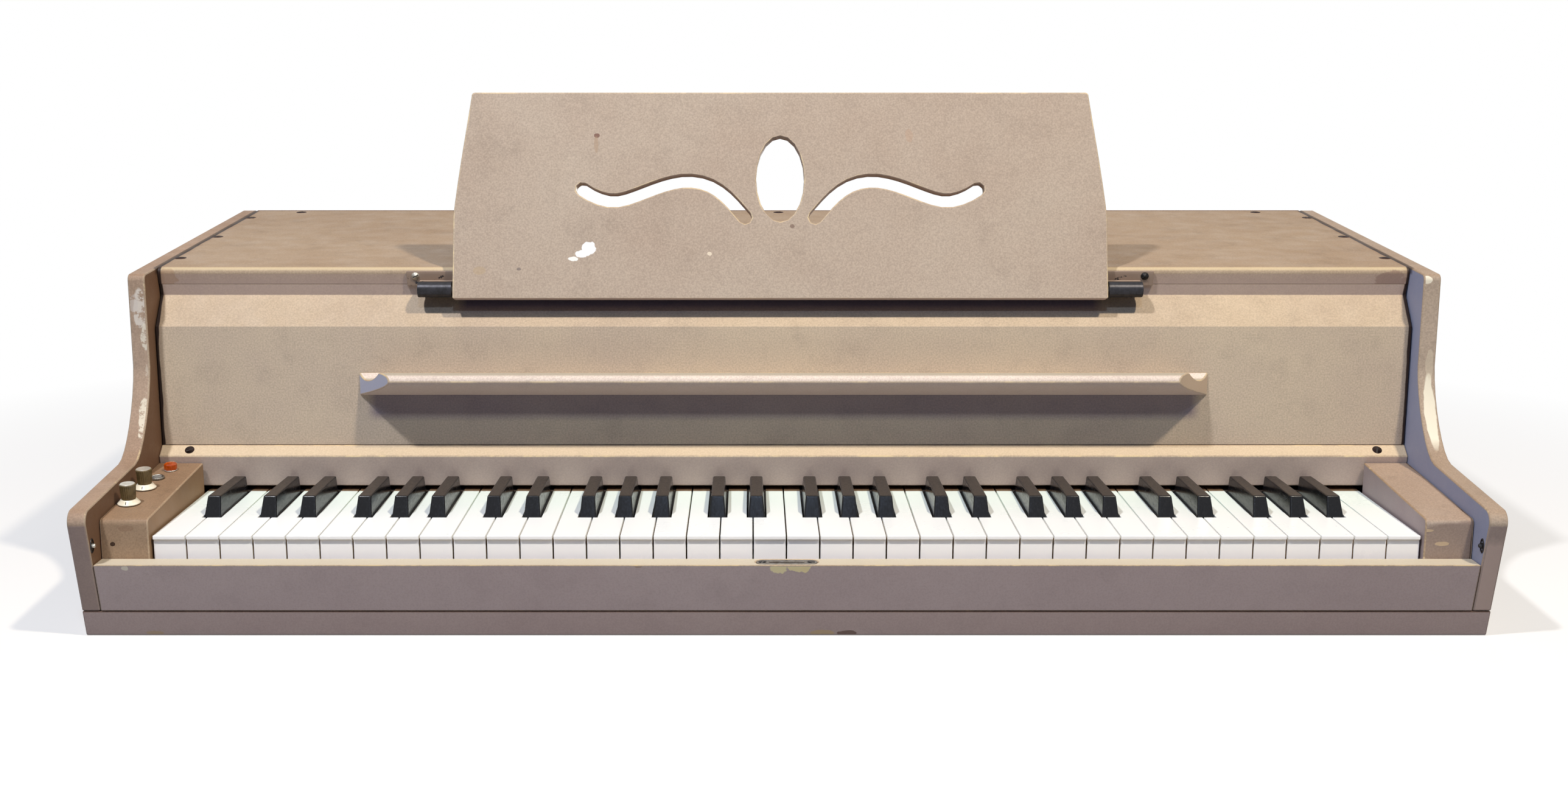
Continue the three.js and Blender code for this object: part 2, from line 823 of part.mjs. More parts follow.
// Back rail, on which the key ends rest, with the outer black keys
function backRail() {
  const half = keyboardHalf - keyGap / 2;
  const railBack = backRailFront + backRailWidth;
  const pieces = [block(-half, half, backRailFront, railBack, baseTop, hingeHeight)];
  for (const key of keys) {
    if (key.black && !key.moves) {
      const reach = blackBaseWidth / 2;
      const [z0, z1] = [hingeHeight - seam, hingeHeight + 2 * seam];
      pieces.push(block(key.x - reach, key.x + reach, backRailFront, railBack, z0, z1));
      pieces.push(blackKey().translate([key.x, hingeSetback, hingeHeight]));
    }
  }
  return joined(pieces);
}

// Music desk: a leaning board with scroll and oval cut-outs, and a pin at each lower corner
const deskLean = THREE.MathUtils.degToRad(deskLeanDegrees);
const deskHingeZ = roofAt(nosingFront) - hingeDrop;
const deskHingeReach = nosingRadius + deskThick / 2 + seam;
const deskHingeY = nosingFront + nosingRadius
  - (deskHingeReach + (nosingHead - deskHingeZ) * Math.sin(deskLean)) / Math.cos(deskLean);

// Centre line of the left scroll, as shares of the desk's half width and height
const scroll_shares = [
  [-0.606, 0.528],
  [-0.556, 0.486],
  [-0.487, 0.476],
  [-0.357, 0.548],
  [-0.284, 0.569],
  [-0.220, 0.550],
  [-0.165, 0.492],
  [-0.107, 0.391],
];

function scrollHole(side) {
  const centreLine = new THREE.SplineCurve(scroll_shares.map(([across, up]) => (
    new THREE.Vector2(across * deskWidth / 2, up * deskHeight - deskFoot)
  )));
  const steps = 19;
  const capSteps = 4;
  const radius = scrollWidth / 2;
  const spaced = centreLine.getSpacedPoints(steps);
  const tangents = spaced.map((_, i) => centreLine.getTangentAt(i / steps));
  const edge = (i, angle) => {
    const heading = tangents[i].angle() + angle;
    return [spaced[i].x + radius * Math.cos(heading), spaced[i].y + radius * Math.sin(heading)];
  };
  const points = [];
  for (let i = 0; i <= steps; i += 1) points.push(edge(i, -quarterTurn));
  for (let i = 1; i < capSteps; i += 1) points.push(edge(steps, -quarterTurn + Math.PI * i / capSteps));
  for (let i = steps; i >= 0; i -= 1) points.push(edge(i, quarterTurn));
  for (let i = 1; i < capSteps; i += 1) points.push(edge(0, quarterTurn + Math.PI * i / capSteps));
  return new THREE.Path(points.map(([x, y]) => new THREE.Vector2(-side * x, y)));
}

function musicDesk() {
  const half = deskWidth / 2;
  const headHalf = half - deskTopInset;
  const head = deskHeight - deskFoot;
  const waist = (deskHeight - deskFoot) / 2;
  const waistHalf = half - deskTopInset / 8;
  const radius = deskCornerRadius;
  const board = new THREE.Shape();
  board.moveTo(-half, -deskFoot);
  board.lineTo(half, -deskFoot);
  board.lineTo(half, deskStraight - deskFoot);
  board.quadraticCurveTo(waistHalf, waist, headHalf, head - radius);
  board.quadraticCurveTo(headHalf, head, headHalf - radius, head);
  board.lineTo(radius - headHalf, head);
  board.quadraticCurveTo(-headHalf, head, -headHalf, head - radius);
  board.quadraticCurveTo(-waistHalf, waist, -half, deskStraight - deskFoot);
  const oval = new THREE.Path();
  oval.absellipse(0, ovalRise - deskFoot, ovalHalfWidth, ovalHalfHeight, 0, 2 * Math.PI, true, 0);
  board.holes.push(oval, scrollHole(-1), scrollHole(1));
  const slab = raise(board, -deskThick / 2, deskThick / 2, 10);
  const pinReach = half + barrelGap + barrelLength - seam;
  const pins = [-1, 1].map((side) => (
    rodAlongX(deskPinRadius, ...span(side, half - overrun, pinReach), 0, 0)
  ));
  return joined([slab, ...pins]);
}

// Hinge bracket: a barrel round the desk's pin, and a flange on the edge of the top board
function deskBracket(side) {
  const near = deskWidth / 2 + barrelGap;
  const ends = span(side, near, near + barrelLength);
  const flangeEnds = span(side, near, near + flangeLength);
  const flangeBack = (z) => nosingAt(z) - seam;
  const flangeTop = nosingHead + nosingRadius / 2;
  const flangeFoot = flangeTop - flangeHeight;
  const barrel = rodAlongX(barrelRadius, ...ends, deskHingeY, deskHingeZ);
  const webTop = deskHingeZ + barrelRadius;
  const web = block(...ends, deskHingeY, flangeBack(webTop), webTop - webThick, webTop);
  const flange = runAlongX(outline([
    [flangeBack(flangeFoot) - flangeThick, flangeFoot],
    [flangeBack(flangeFoot), flangeFoot],
    [flangeBack(nosingHead), nosingHead],
    [flangeBack(flangeTop), flangeTop],
    [flangeBack(flangeTop) - flangeThick, flangeTop],
    [flangeBack(nosingHead) - flangeThick, nosingHead],
  ]), ...flangeEnds);
  const [bore0, bore1] = [ends[0] - overrun, ends[1] + overrun];
  const bore = rodAlongX(deskPinRadius + seam, bore0, bore1, deskHingeY, deskHingeZ);
  return joined([barrel, web, flange]).subtract(bore);
}

// Hammer action: two plates, the rail between them and one hammer for each key
const plateInner = keyboardHalf + actionPlateGap;
const plateFront = hingeSetback + actionPlateLead;
const actionRailFoot = keyTop + actionRailRise;
const reedHeight = keyTop + reedRise;
const hammerPitch = 2 * keyboardHalf / keyCount;
const hammerX = (index) => -keyboardHalf + (index + 1 / 2) * hammerPitch;

function hammerAction() {
  const plate = outline([
    [plateFront, baseTop],
    [plateBack, baseTop],
    [plateBack, reedHeight],
    [plateBack - reedBarDepth, reedHeight],
    [plateBack - reedBarDepth, reedHeight - hammerHeadHeight],
    [plateFront, actionRailFoot + actionRailHeight],
  ]);
  const railTop = actionRailFoot + actionRailHeight;
  const railFront = plateFront + actionPlateThick;
  const railBack = railFront + actionRailDepth;
  const pieces = [-1, 1].map((side) => (
    runAlongX(plate, ...span(side, plateInner, plateInner + actionPlateThick))
  ));
  pieces.push(block(-plateInner - seam, plateInner + seam, railFront, railBack, actionRailFoot, railTop));
  const headBack = plateBack - reedBarDepth - hammerGap;
  const headFront = headBack - hammerHeadDepth;
  for (const key of keys) {
    const x = hammerX(key.index);
    const half = hammerShank / 2;
    const shankEnds = [railBack - hammerShank, headBack - hammerShank];
    pieces.push(block(x - half, x + half, ...shankEnds, railTop - hammerShank, railTop));
    pieces.push(taperedBlock(
      {
        halfWidth: hammerHeadWidth / 2,
        front: headFront,
        back: headBack,
        frontHeight: railTop - hammerShank * 2,
        backHeight: railTop - hammerShank * 2,
      },
      {
        halfWidth: half,
        front: headFront + hammerShank,
        back: headBack - hammerShank,
        frontHeight: railTop + hammerHeadHeight - hammerShank * 2,
        backHeight: railTop + hammerHeadHeight - hammerShank * 2,
      },
    ).translate([x, 0, 0]));
  }
  return joined(pieces);
}

// Reed bar on the plates, with a reed over each hammer, long in the bass and short in the treble
function reedBar() {
  const barFoot = reedHeight + seam;
  const barBack = plateBack - seam;
  const barFront = barBack - reedBarDepth + seam;
  const half = plateInner + actionPlateThick;
  const pieces = [block(-half, half, barFront, barBack, barFoot, barFoot + reedBarHeight)];
  for (const key of keys) {
    const length = THREE.MathUtils.lerp(bassReedLength, trebleReedLength, key.index / (keyCount - 1));
    const x = hammerX(key.index);
    const [x0, x1] = [x - reedWidth / 2, x + reedWidth / 2];
    const foot = barFoot + reedThick;
    pieces.push(block(x0, x1, barFront - length, barFront + reedWidth, foot, foot + reedThick));
  }
  return joined(pieces);
}

// Loudspeaker on the inside of the back panel
function loudspeaker() {
  const cone = speakerFlange + coneDepth;
  const basket = turned([
    [0, cone + magnetDepth],
    [magnetRadius, cone + magnetDepth],
    [magnetRadius, cone],
    [magnetRadius * 5 / 8, cone],
    [speakerRadius - speakerFlange * 2, speakerFlange],
    [speakerRadius, speakerFlange],
    [speakerRadius, 0],
    [speakerRadius - speakerFlange * 2, 0],
    [magnetRadius / 2, coneDepth],
    [0, coneDepth],
  ].reverse(), 20);
  return basket.rotate([90, 0, 0]);
}

// Amplifier chassis with its transformer, valves and the gland of the mains cord
const ampBack = backFace - ampInset;
const glandX = ampPlace + ampLength / 2 - glandInset;
const glandZ = baseTop + ampHeight / 2;

function amplifier() {
  const [x0, x1] = [ampPlace - ampLength / 2, ampPlace + ampLength / 2];
  const deck = baseTop + ampHeight;
  const chassis = block(x0, x1, ampBack - ampDepth, ampBack, baseTop, deck);
  const y = ampBack - ampDepth / 2;
  const core = block(
    x0 + ampInset, x0 + ampInset + transformerLength,
    y - transformerDepth / 2, y + transformerDepth / 2,
    deck - seam, deck + transformerHeight,
  );
  const pieces = [chassis, core];
  for (let i = 0; i < valveCount; i += 1) {
    const x = x1 - valvePitch * (i + 1 / 2);
    pieces.push(post(valveRadius, x, y, deck - seam, deck + valveHeight));
  }
  pieces.push(rodAlongY(glandRadius, glandX, glandZ, ampBack - seam, caseDepth - seam));
  const recess = rodAlongY(glandBore, glandX, glandZ, caseDepth - seam - glandRecess, caseDepth + overrun);
  return joined(pieces).subtract(recess);
}

// Assembly
part(piano, 'base_board', baseBoard(), beigePaint());
part(piano, 'left_side_panel', sidePanel(-1), beigePaint());
part(piano, 'right_side_panel', sidePanel(1), beigePaint());
part(piano, 'top_board', topBoard(), beigePaint());
part(piano, 'front_panel', frontPanel(), beigePaint());
part(piano, 'music_ledge', musicLedge(), beigePaint());
part(piano, 'fall_strip', fallStrip(), beigePaint());
part(piano, 'key_slip', keySlip(), beigePaint());
part(piano, 'lock_plate', lockPlate(), greySteel(), [0, slipBack - slipThick / 2, slipTop]);
part(piano, 'back_panel', backPanel(), rawWood());
part(piano, 'left_cheek_block', cheekBlock(-1), beigePaint());
part(piano, 'right_cheek_block', cheekBlock(1), beigePaint());
part(controlStand(knobInset, volumeSetback), 'volume_knob', controlKnob(), finish(0x4c3f2a, 0.4));
part(controlStand(knobInset, tremoloSetback), 'tremolo_knob', controlKnob(), finish(0x4c3f2a, 0.4));
part(controlStand(fuseInset, fuseSetback), 'fuse_cap', fuseCap(), greySteel());
part(controlStand(lampInset, lampSetback), 'pilot_lamp', pilotLamp(), finish(0xd8481c, 0.15));
part(piano, 'key_frame', keyFrame(), ivoryPlastic());
part(piano, 'back_rail', backRail(), blackPlastic());
for (const key of keys.filter(({ moves }) => moves)) {
  const solid = key.black ? blackKey() : whiteKey(key, true);
  const material = key.black ? blackPlastic() : ivoryPlastic();
  part(piano, key.name, solid, material, [key.x, hingeSetback, hingeHeight]);
}
part(piano, 'hammer_action', hammerAction(), rawWood());
part(piano, 'reed_bar', reedBar(), greySteel());
part(piano, 'loudspeaker', loudspeaker(), darkSteel(), [-speakerPlace, backFace - seam, speakerHeight]);
part(piano, 'amplifier', amplifier(), greySteel());

// The desk turns about its pins, which lie in the barrels of the brackets
const deskStand = new THREE.Group();
deskStand.position.set(deskOffset, 0, 0);
piano.add(deskStand);
part(deskStand, 'desk_bracket_left', deskBracket(-1), darkSteel());
part(deskStand, 'desk_bracket_right', deskBracket(1), darkSteel());
const desk = part(deskStand, 'music_desk', musicDesk(), beigePaint(), [0, deskHingeY, deskHingeZ]);
desk.rotation.x = quarterTurn - deskLean;

export default piano;
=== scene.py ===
"""Looks of the electric piano: finishes, small fittings, light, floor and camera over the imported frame."""
import json
import math

import bmesh
import bpy
from mathutils import Matrix, Vector
from mathutils.bvhtree import BVHTree
from mathutils.geometry import tessellate_polygon

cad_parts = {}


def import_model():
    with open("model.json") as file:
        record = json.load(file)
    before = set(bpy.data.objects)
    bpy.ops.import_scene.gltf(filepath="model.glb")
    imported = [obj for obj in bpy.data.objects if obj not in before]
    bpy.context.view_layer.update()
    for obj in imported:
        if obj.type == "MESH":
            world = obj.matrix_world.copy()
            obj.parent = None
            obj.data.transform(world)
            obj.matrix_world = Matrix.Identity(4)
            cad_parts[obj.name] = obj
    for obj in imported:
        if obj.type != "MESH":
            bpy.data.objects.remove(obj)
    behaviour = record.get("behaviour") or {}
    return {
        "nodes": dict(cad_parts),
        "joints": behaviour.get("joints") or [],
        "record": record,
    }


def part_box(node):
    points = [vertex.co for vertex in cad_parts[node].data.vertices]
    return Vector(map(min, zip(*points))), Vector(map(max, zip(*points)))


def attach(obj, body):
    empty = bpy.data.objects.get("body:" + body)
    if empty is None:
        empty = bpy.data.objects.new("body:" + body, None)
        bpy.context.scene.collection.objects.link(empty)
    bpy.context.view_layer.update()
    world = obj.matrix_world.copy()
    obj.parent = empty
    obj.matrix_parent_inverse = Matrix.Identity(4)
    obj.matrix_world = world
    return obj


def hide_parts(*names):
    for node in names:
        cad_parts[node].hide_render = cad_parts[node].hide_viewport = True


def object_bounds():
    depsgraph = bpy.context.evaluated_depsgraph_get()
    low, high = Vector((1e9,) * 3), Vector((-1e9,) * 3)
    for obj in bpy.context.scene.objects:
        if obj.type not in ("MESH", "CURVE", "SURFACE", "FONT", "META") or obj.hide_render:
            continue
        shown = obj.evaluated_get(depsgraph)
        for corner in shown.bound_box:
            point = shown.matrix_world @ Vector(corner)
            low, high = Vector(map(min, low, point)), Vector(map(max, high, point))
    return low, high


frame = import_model()
cad_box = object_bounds()
nodes = frame["nodes"]
joints = {joint["name"]: joint for joint in frame["joints"]}
body_of_node = {
    node: body
    for body, names in frame["record"]["behaviour"]["bodies"].items()
    for node in names
}

MM = 0.001
SIDES = {"left": -1, "right": 1}


def lowest(node):
    """Lowest corner of a node at rest, in millimetres."""
    return Vector(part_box(node)[0]) / MM


def highest(node):
    """Highest corner of a node at rest, in millimetres."""
    return Vector(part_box(node)[1]) / MM


def pivot(joint):
    """Place of a joint, in millimetres."""
    return Vector(joints[joint]["pos_m"]) / MM


# Camera: the photograph's own viewing point and angle, in metres and degrees
CAMERA_PLACE = (-0.0245, -1.4535, 0.408)
CAMERA_PITCH_DEG = 10.9
CAMERA_LENS = 41.93
CAMERA_SENSOR = 36
CAMERA_SHIFT = 0.0206

# Lamps: direction from the case, power and colour
LAMP_AIM = (0, 0, 0.15)
LAMP_DISTANCE = 2.5
LAMP_SIZE = 0.14
LAMPS = {
    "lamp_left": ((-0.358, -0.436, 0.825), 43.0, (0.95, 0.96, 1.0)),
    "lamp_right": ((0.358, -0.436, 0.825), 43.0, (1.05, 0.94, 0.76)),
    "lamp_front": ((0, -0.71, 0.70), 8.0, (0.62, 0.85, 1.25)),
    "lamp_back": ((0.35, 0.93, -0.01), 20.0, (1.0, 0.96, 0.9)),
}
FILL_LEVEL = 0.06
FILL_COLOUR = (0.5, 0.8, 1.7, 1)

# Floor: wide and flat, fading to the white background around the object, in metres
FLOOR_HALF = 12.0
FLOOR_DROP = 0.3 * MM
FLOOR_FADE_START = 0.5
FLOOR_FADE_END = 1.15
FLOOR_LIFT = 0.3
FLOOR_TONE = (0.88, 0.85, 0.81, 1)
FLOOR_BOUNCE_TONE = 0.14

# Places on the case, in millimetres, most of them worked out from the frame
HALF_WIDTH = cad_box[1][0] / MM
HALF_DEPTH = cad_box[1][1] / MM
SIDE_BOARD = 13.0
SIDE_INNER = HALF_WIDTH - SIDE_BOARD
HINGE_X, HINGE_Y, HINGE_Z = pivot("desk_fold")
PANEL_END = highest("front_panel").x
TOP_END = highest("top_board").x

# The dark line at a cheek block's end is narrower, so the end is taken to be farther out
CHEEK_SHIFT = 1.1
CHEEK_END = highest("right_cheek_block").x + CHEEK_SHIFT

# Keys: the covers that lie on their wooden sticks, in millimetres
WHITE_COVER = 2.8
FRONT_COVER = 3.0
BLACK_CAP_DROP = 4.0
KEY_FRONT = lowest("key_c4").y
KEY_TOP = highest("key_c4").z
WHITE_COVER_FOOT = KEY_TOP - WHITE_COVER
WHITE_COVER_END = -78.5
BLACK_CAP_FOOT = KEY_TOP - BLACK_CAP_DROP
STICK_SHADE_START = -100
GREENISH = (-165, -110)
COVER_BLEND = 0.05
END_BLEND = 0.3


def srgb(red, green, blue):
    """Linear colour of an sRGB colour given in 0 to 255."""
    def linear(value):
        value /= 255
        return value / 12.92 if value <= 0.04045 else ((value + 0.055) / 1.055) ** 2.4
    return linear(red), linear(green), linear(blue), 1.0


def toned(colour, factor):
    """Linear colour of an sRGB colour made darker or lighter by a factor."""
    return srgb(*[min(255, value * factor) for value in colour])


# Camera, lamps, world and floor


def add_object(name, data):
    made = bpy.data.objects.new(name, data)
    bpy.context.scene.collection.objects.link(made)
    return made


def camera():
    data = bpy.data.cameras.new("camera")
    data.sensor_width = CAMERA_SENSOR
    data.lens = CAMERA_LENS
    data.shift_x = CAMERA_SHIFT
    made = add_object("camera", data)
    made.location = CAMERA_PLACE
    made.rotation_euler = (math.radians(90 - CAMERA_PITCH_DEG), 0, 0)
    bpy.context.scene.camera = made


def lamp(name, direction, power, colour):
    """Round soft lamp that shines on the case from a direction."""
    data = bpy.data.lights.new(name, "AREA")
    data.energy = power
    data.color = colour
    data.shape = "DISK"
    data.size = LAMP_SIZE
    made = add_object(name, data)
    toward = Vector(direction).normalized()
    made.location = Vector(LAMP_AIM) + toward * LAMP_DISTANCE
    made.rotation_mode = "QUATERNION"
    made.rotation_quaternion = toward.to_track_quat("Z", "Y")


def background_rays(tree):
    """1 for camera, glossy and transmission rays, 0 for the rays that light the object."""
    path = tree.nodes.new("ShaderNodeLightPath")
    total = path.outputs["Is Camera Ray"]
    for kind in ("Is Glossy Ray", "Is Transmission Ray"):
        larger = tree.nodes.new("ShaderNodeMath")
        larger.operation = "MAXIMUM"
        tree.links.new(total, larger.inputs[0])
        tree.links.new(path.outputs[kind], larger.inputs[1])
        total = larger.outputs[0]
    return total


def world():
    """White background, with a weak cool fill on the object."""
    made = bpy.data.worlds.new("studio")
    bpy.context.scene.world = made
    made.use_nodes = True
    tree = made.node_tree
    fill = tree.nodes["Background"]
    fill.inputs["Color"].default_value = FILL_COLOUR
    fill.inputs["Strength"].default_value = FILL_LEVEL
    white = tree.nodes.new("ShaderNodeBackground")
    white.inputs["Color"].default_value = (1, 1, 1, 1)
    blend = tree.nodes.new("ShaderNodeMixShader")
    tree.links.new(background_rays(tree), blend.inputs[0])
    tree.links.new(fill.outputs[0], blend.inputs[1])
    tree.links.new(white.outputs[0], blend.inputs[2])
    tree.links.new(blend.outputs[0], tree.nodes["World Output"].inputs["Surface"])


class Shader:
    """Short calls for making and linking the nodes of one material, in the coordinates of its object."""

    MIX_SHARE, MIX_FIRST, MIX_SECOND, MIX_RESULT = 0, 6, 7, 2

    def __init__(self, name):
        self.material = bpy.data.materials.new(name)
        self.material.use_nodes = True
        self.tree = self.material.node_tree
        self.surface = self.tree.nodes["Principled BSDF"]
        coordinates = self.tree.nodes.new("ShaderNodeTexCoord")
        self.place = coordinates.outputs["Object"]
        self.x, self.y, self.z = self.node("ShaderNodeSeparateXYZ", self.place).outputs
        facing = self.node("ShaderNodeSeparateXYZ", coordinates.outputs["Normal"])
        self.facing_right, self.facing_back, self.facing_up = facing.outputs

    def node(self, kind, *inputs, **settings):
        made = self.tree.nodes.new(kind)
        for key, value in settings.items():
            setattr(made, key, value)
        for socket, value in zip(made.inputs, inputs):
            self.set(socket, value)
        return made

    def set(self, socket, value):
        if isinstance(value, bpy.types.NodeSocket):
            self.tree.links.new(value, socket)
        elif value is not None:
            socket.default_value = value

    def math(self, operation, first, second=None):
        return self.node("ShaderNodeMath", first, second, operation=operation).outputs[0]

    def vectors(self, operation, *inputs):
        """Arithmetic with vectors; the length of one comes out as a number."""
        output = "Value" if operation == "LENGTH" else "Vector"
        return self.node("ShaderNodeVectorMath", *inputs, operation=operation).outputs[output]

    def product(self, first, *others):
        for other in others:
            first = self.math("MULTIPLY", first, other)
        return first

    def scaled(self, stretch):
        """The place stretched along each axis, for textures with a direction."""
        made = self.node("ShaderNodeMapping", self.place)
        made.inputs["Scale"].default_value = stretch
        return made.outputs[0]

    def noise(self, scale, detail=2.0, roughness=0.5, where=None):
        """Noise with about that many grains to the metre."""
        made = self.node("ShaderNodeTexNoise")
        self.set(made.inputs["Vector"], where or self.place)
        made.inputs["Scale"].default_value = scale
        made.inputs["Detail"].default_value = detail
        made.inputs["Roughness"].default_value = roughness
        return made.outputs["Fac"]

    def span(self, value, low, high, to_low=0.0, to_high=1.0):
        """Value between low and high, spread over to_low to to_high and held at the ends."""
        return self.node("ShaderNodeMapRange", value, low, high, to_low, to_high).outputs[0]

    def span_mm(self, value, low, high, to_low=0.0, to_high=1.0):
        """The same as span for a length, with low and high in millimetres."""
        return self.span(value, low * MM, high * MM, to_low, to_high)

    def mix(self, share, first, second, blend="MIX"):
        made = self.node("ShaderNodeMix", data_type="RGBA", blend_type=blend)
        self.set(made.inputs[self.MIX_SHARE], share)
        self.set(made.inputs[self.MIX_FIRST], first)
        self.set(made.inputs[self.MIX_SECOND], second)
        return made.outputs[self.MIX_RESULT]

    def colour(self, value):
        self.set(self.surface.inputs["Base Color"], value)

    def gloss(self, value):
        self.set(self.surface.inputs["Roughness"], value)

    def constant(self, socket, value):
        """Sets a value that is the same all over the surface."""
        self.surface.inputs[socket].default_value = value

    def bump(self, height, strength, depth):
        """Bumps of a depth in millimetres."""
        made = self.node("ShaderNodeBump")
        made.inputs["Strength"].default_value = strength
        made.inputs["Distance"].default_value = depth * MM
        self.set(made.inputs["Height"], height)
        self.set(self.surface.inputs["Normal"], made.outputs[0])

    def spot(self, centre, reach, rag, grain):
        """1 inside a ragged patch, by its centre and its reach across and up, in millimetres."""
        wander = self.node("ShaderNodeTexNoise", self.place)
        wander.inputs["Scale"].default_value = grain
        wander.inputs["Detail"].default_value = 3
        offset = self.vectors("SUBTRACT", self.place, (centre[0] * MM, 0, centre[1] * MM))
        share = self.vectors("MULTIPLY", offset, (1 / (reach[0] * MM), 0, 1 / (reach[1] * MM)))
        centred = self.vectors("SUBTRACT", wander.outputs["Color"], (0.5, 0.5, 0.5))
        ragged = self.vectors("MULTIPLY", centred, (rag, rag, rag))
        distance = self.vectors("LENGTH", self.vectors("ADD", share, ragged))
        return self.span(distance, 0.92, 1.04, 1, 0)


def floor():
    """Pale floor that keeps the object's shadow and turns to plain white farther out."""
    mesh = bpy.data.meshes.new("floor")
    corners = [(*corner, 0) for corner in rectangle(FLOOR_HALF, FLOOR_HALF)]
    mesh.from_pydata(corners, [], [tuple(range(len(corners)))])
    made = add_object("floor", mesh)
    made.location.z = -FLOOR_DROP
    shader = Shader("floor")
    seen = background_rays(shader.tree)
    shader.colour(shader.mix(seen, (*[FLOOR_BOUNCE_TONE] * 3, 1), FLOOR_TONE))
    shader.gloss(0.9)
    glow = shader.node("ShaderNodeEmission", (1, 1, 1, 1), 1.0)
    far = shader.vectors("LENGTH", shader.place)
    fade = shader.span(far, FLOOR_FADE_START, FLOOR_FADE_END, FLOOR_LIFT, 1)
    share = shader.product(fade, seen)
    blend = shader.node("ShaderNodeMixShader", share, shader.surface.outputs[0], glow.outputs[0])
    shader.set(shader.tree.nodes["Material Output"].inputs["Surface"], blend.outputs[0])
    mesh.materials.append(shader.material)


# Paint

CREAM = srgb(226, 205, 165)
JOINT_DARK = srgb(40, 26, 20)
JOINT_BROWN = srgb(120, 84, 56)
UPWARD_SHADE_AND_DUST = srgb(228, 219, 210)
# Violet grey of the painted shade bands
PAINTED_SHADE_TONE = srgb(67, 58, 98)
DOWNWARD_SHADE = srgb(178, 156, 150)
PAINT_SPECULAR = 0.25
SPECKLE = 0.16

# Dark ends of a board: how far before its end the brown and the dark start and are full, in millimetres
BROWN_START = 5.5
BROWN_FULL = 1.5
DARK_START = 2.3
DARK_FULL = 1.6
LINE_WANDER = (-0.5 * MM, 0.9 * MM)

# Painted shade bands: how wide their fades are at the sides, the foot and the head, in millimetres
SHADE_BAND_SIDE_FADE = 8
SHADE_BAND_FOOT_FADE = 7
SHADE_BAND_HEAD_FADE = 0.5

# Dark joint beside the top board: the half widths, heights and depths over which it fades in and out
JOINT_INNER = (480, 480.1)
JOINT_OUTER = (483.5, 484)
JOINT_HEIGHT = (236, 238)
JOINT_DEPTH = (-62, -58)
JOINT_STRENGTH = 0.75


def aged_coat(shader, base, shade, dirt):
    """Broad change between two tones, clouds of dirt, and fine dark and light speckles."""
    broad = shader.span(shader.noise(7, 4, 0.6), 0.35, 0.68)
    tone = shader.mix(broad, srgb(*base), srgb(*shade))
    cloud = shader.span(shader.noise(38, 5, 0.7), 0.52, 0.78, 0, dirt)
    tone = shader.mix(cloud, tone, toned(shade, 0.8))
    grain = shader.noise(780, 2, 0.6)
    dark = shader.span(grain, 0.36, 0.5, SPECKLE, 0)
    light = shader.span(grain, 0.5, 0.66, 0, SPECKLE)
    tone = shader.mix(dark, tone, toned(base, 0.55))
    return shader.mix(light, tone, toned(base, 1.25))


def painted_slant_highlight(shader, tone, strength):
    """Cream on the faces that slant up and forward: a painted highlight, with some worn paint."""
    upward = shader.span(shader.facing_up, 0.3, 0.6)
    not_flat = shader.span(shader.facing_up, 0.9, 0.985, 1, 0)
    forward = shader.span(shader.facing_back, -0.3, -0.1, 1, 0)
    return shader.mix(shader.product(upward, not_flat, forward, strength), tone, CREAM)


def painted_side_light(shader, tone, leftward_lighting, rightward_lighting):
    """Tones of the faces that look to either side: painted light and shade."""
    for sign, tint in ((-1, leftward_lighting), (1, rightward_lighting)):
        if tint:
            outward = shader.product(shader.facing_right, sign)
            tone = shader.mix(shader.span(outward, 0.35, 0.65, 0, 0.85), tone, srgb(*tint))
    return tone


def patched(shader, tone, patches, flaked):
    """Listed patches on the faces that look forward, broken up by noise where the paint flakes."""
    front = shader.span(shader.facing_back, -0.75, -0.6, 1, 0)
    if flaked:
        front = shader.product(front, shader.span(shader.noise(flaked, 5, 0.75), 0.44, 0.5))
    for centre, reach, rag, grain, colour, strength in patches:
        mask = shader.product(shader.spot(centre, reach, rag, grain), front, strength)
        tone = shader.mix(mask, tone, srgb(*colour))
    return tone


def dark_ends(shader, tone, end):
    """A dark line at both ends of a board, where its half width reaches end, and brown before it."""
    wander = shader.span(shader.noise(24, 3), 0.3, 0.7, *LINE_WANDER)
    sideways = shader.math("ADD", shader.math("ABSOLUTE", shader.x), wander)
    brown = shader.span_mm(sideways, end - BROWN_START, end - BROWN_FULL, 0, 0.3)
    dark = shader.span_mm(sideways, end - DARK_START, end - DARK_FULL)
    return shader.mix(dark, shader.mix(brown, tone, JOINT_BROWN), JOINT_DARK)


def painted_shade_band(shader, tone, middle, half, foot, head, strength):
    """Painted shade in a band that reaches half to either side of its middle, and up from foot to head."""
    sideways = shader.math("ABSOLUTE", shader.math("SUBTRACT", shader.x, middle * MM))
    across = shader.span_mm(sideways, half - SHADE_BAND_SIDE_FADE, half, strength, 0)
    rising = shader.span_mm(shader.z, foot, foot + SHADE_BAND_FOOT_FADE)
    ending = shader.span_mm(shader.z, head - SHADE_BAND_HEAD_FADE, head, 1, 0)
    return shader.mix(shader.product(across, rising, ending), tone, PAINTED_SHADE_TONE)


def dark_joint(shader, tone):
    """The dark joint beside the top board, on the side panels' upper edges."""
    sideways = shader.math("ABSOLUTE", shader.x)
    inner = shader.span_mm(sideways, *JOINT_INNER)
    outer = shader.span_mm(sideways, *JOINT_OUTER, 1, 0)
    above = shader.span_mm(shader.z, *JOINT_HEIGHT)
    behind = shader.span_mm(shader.y, *JOINT_DEPTH)
    return shader.mix(shader.product(inner, outer, above, behind, JOINT_STRENGTH), tone, JOINT_DARK)


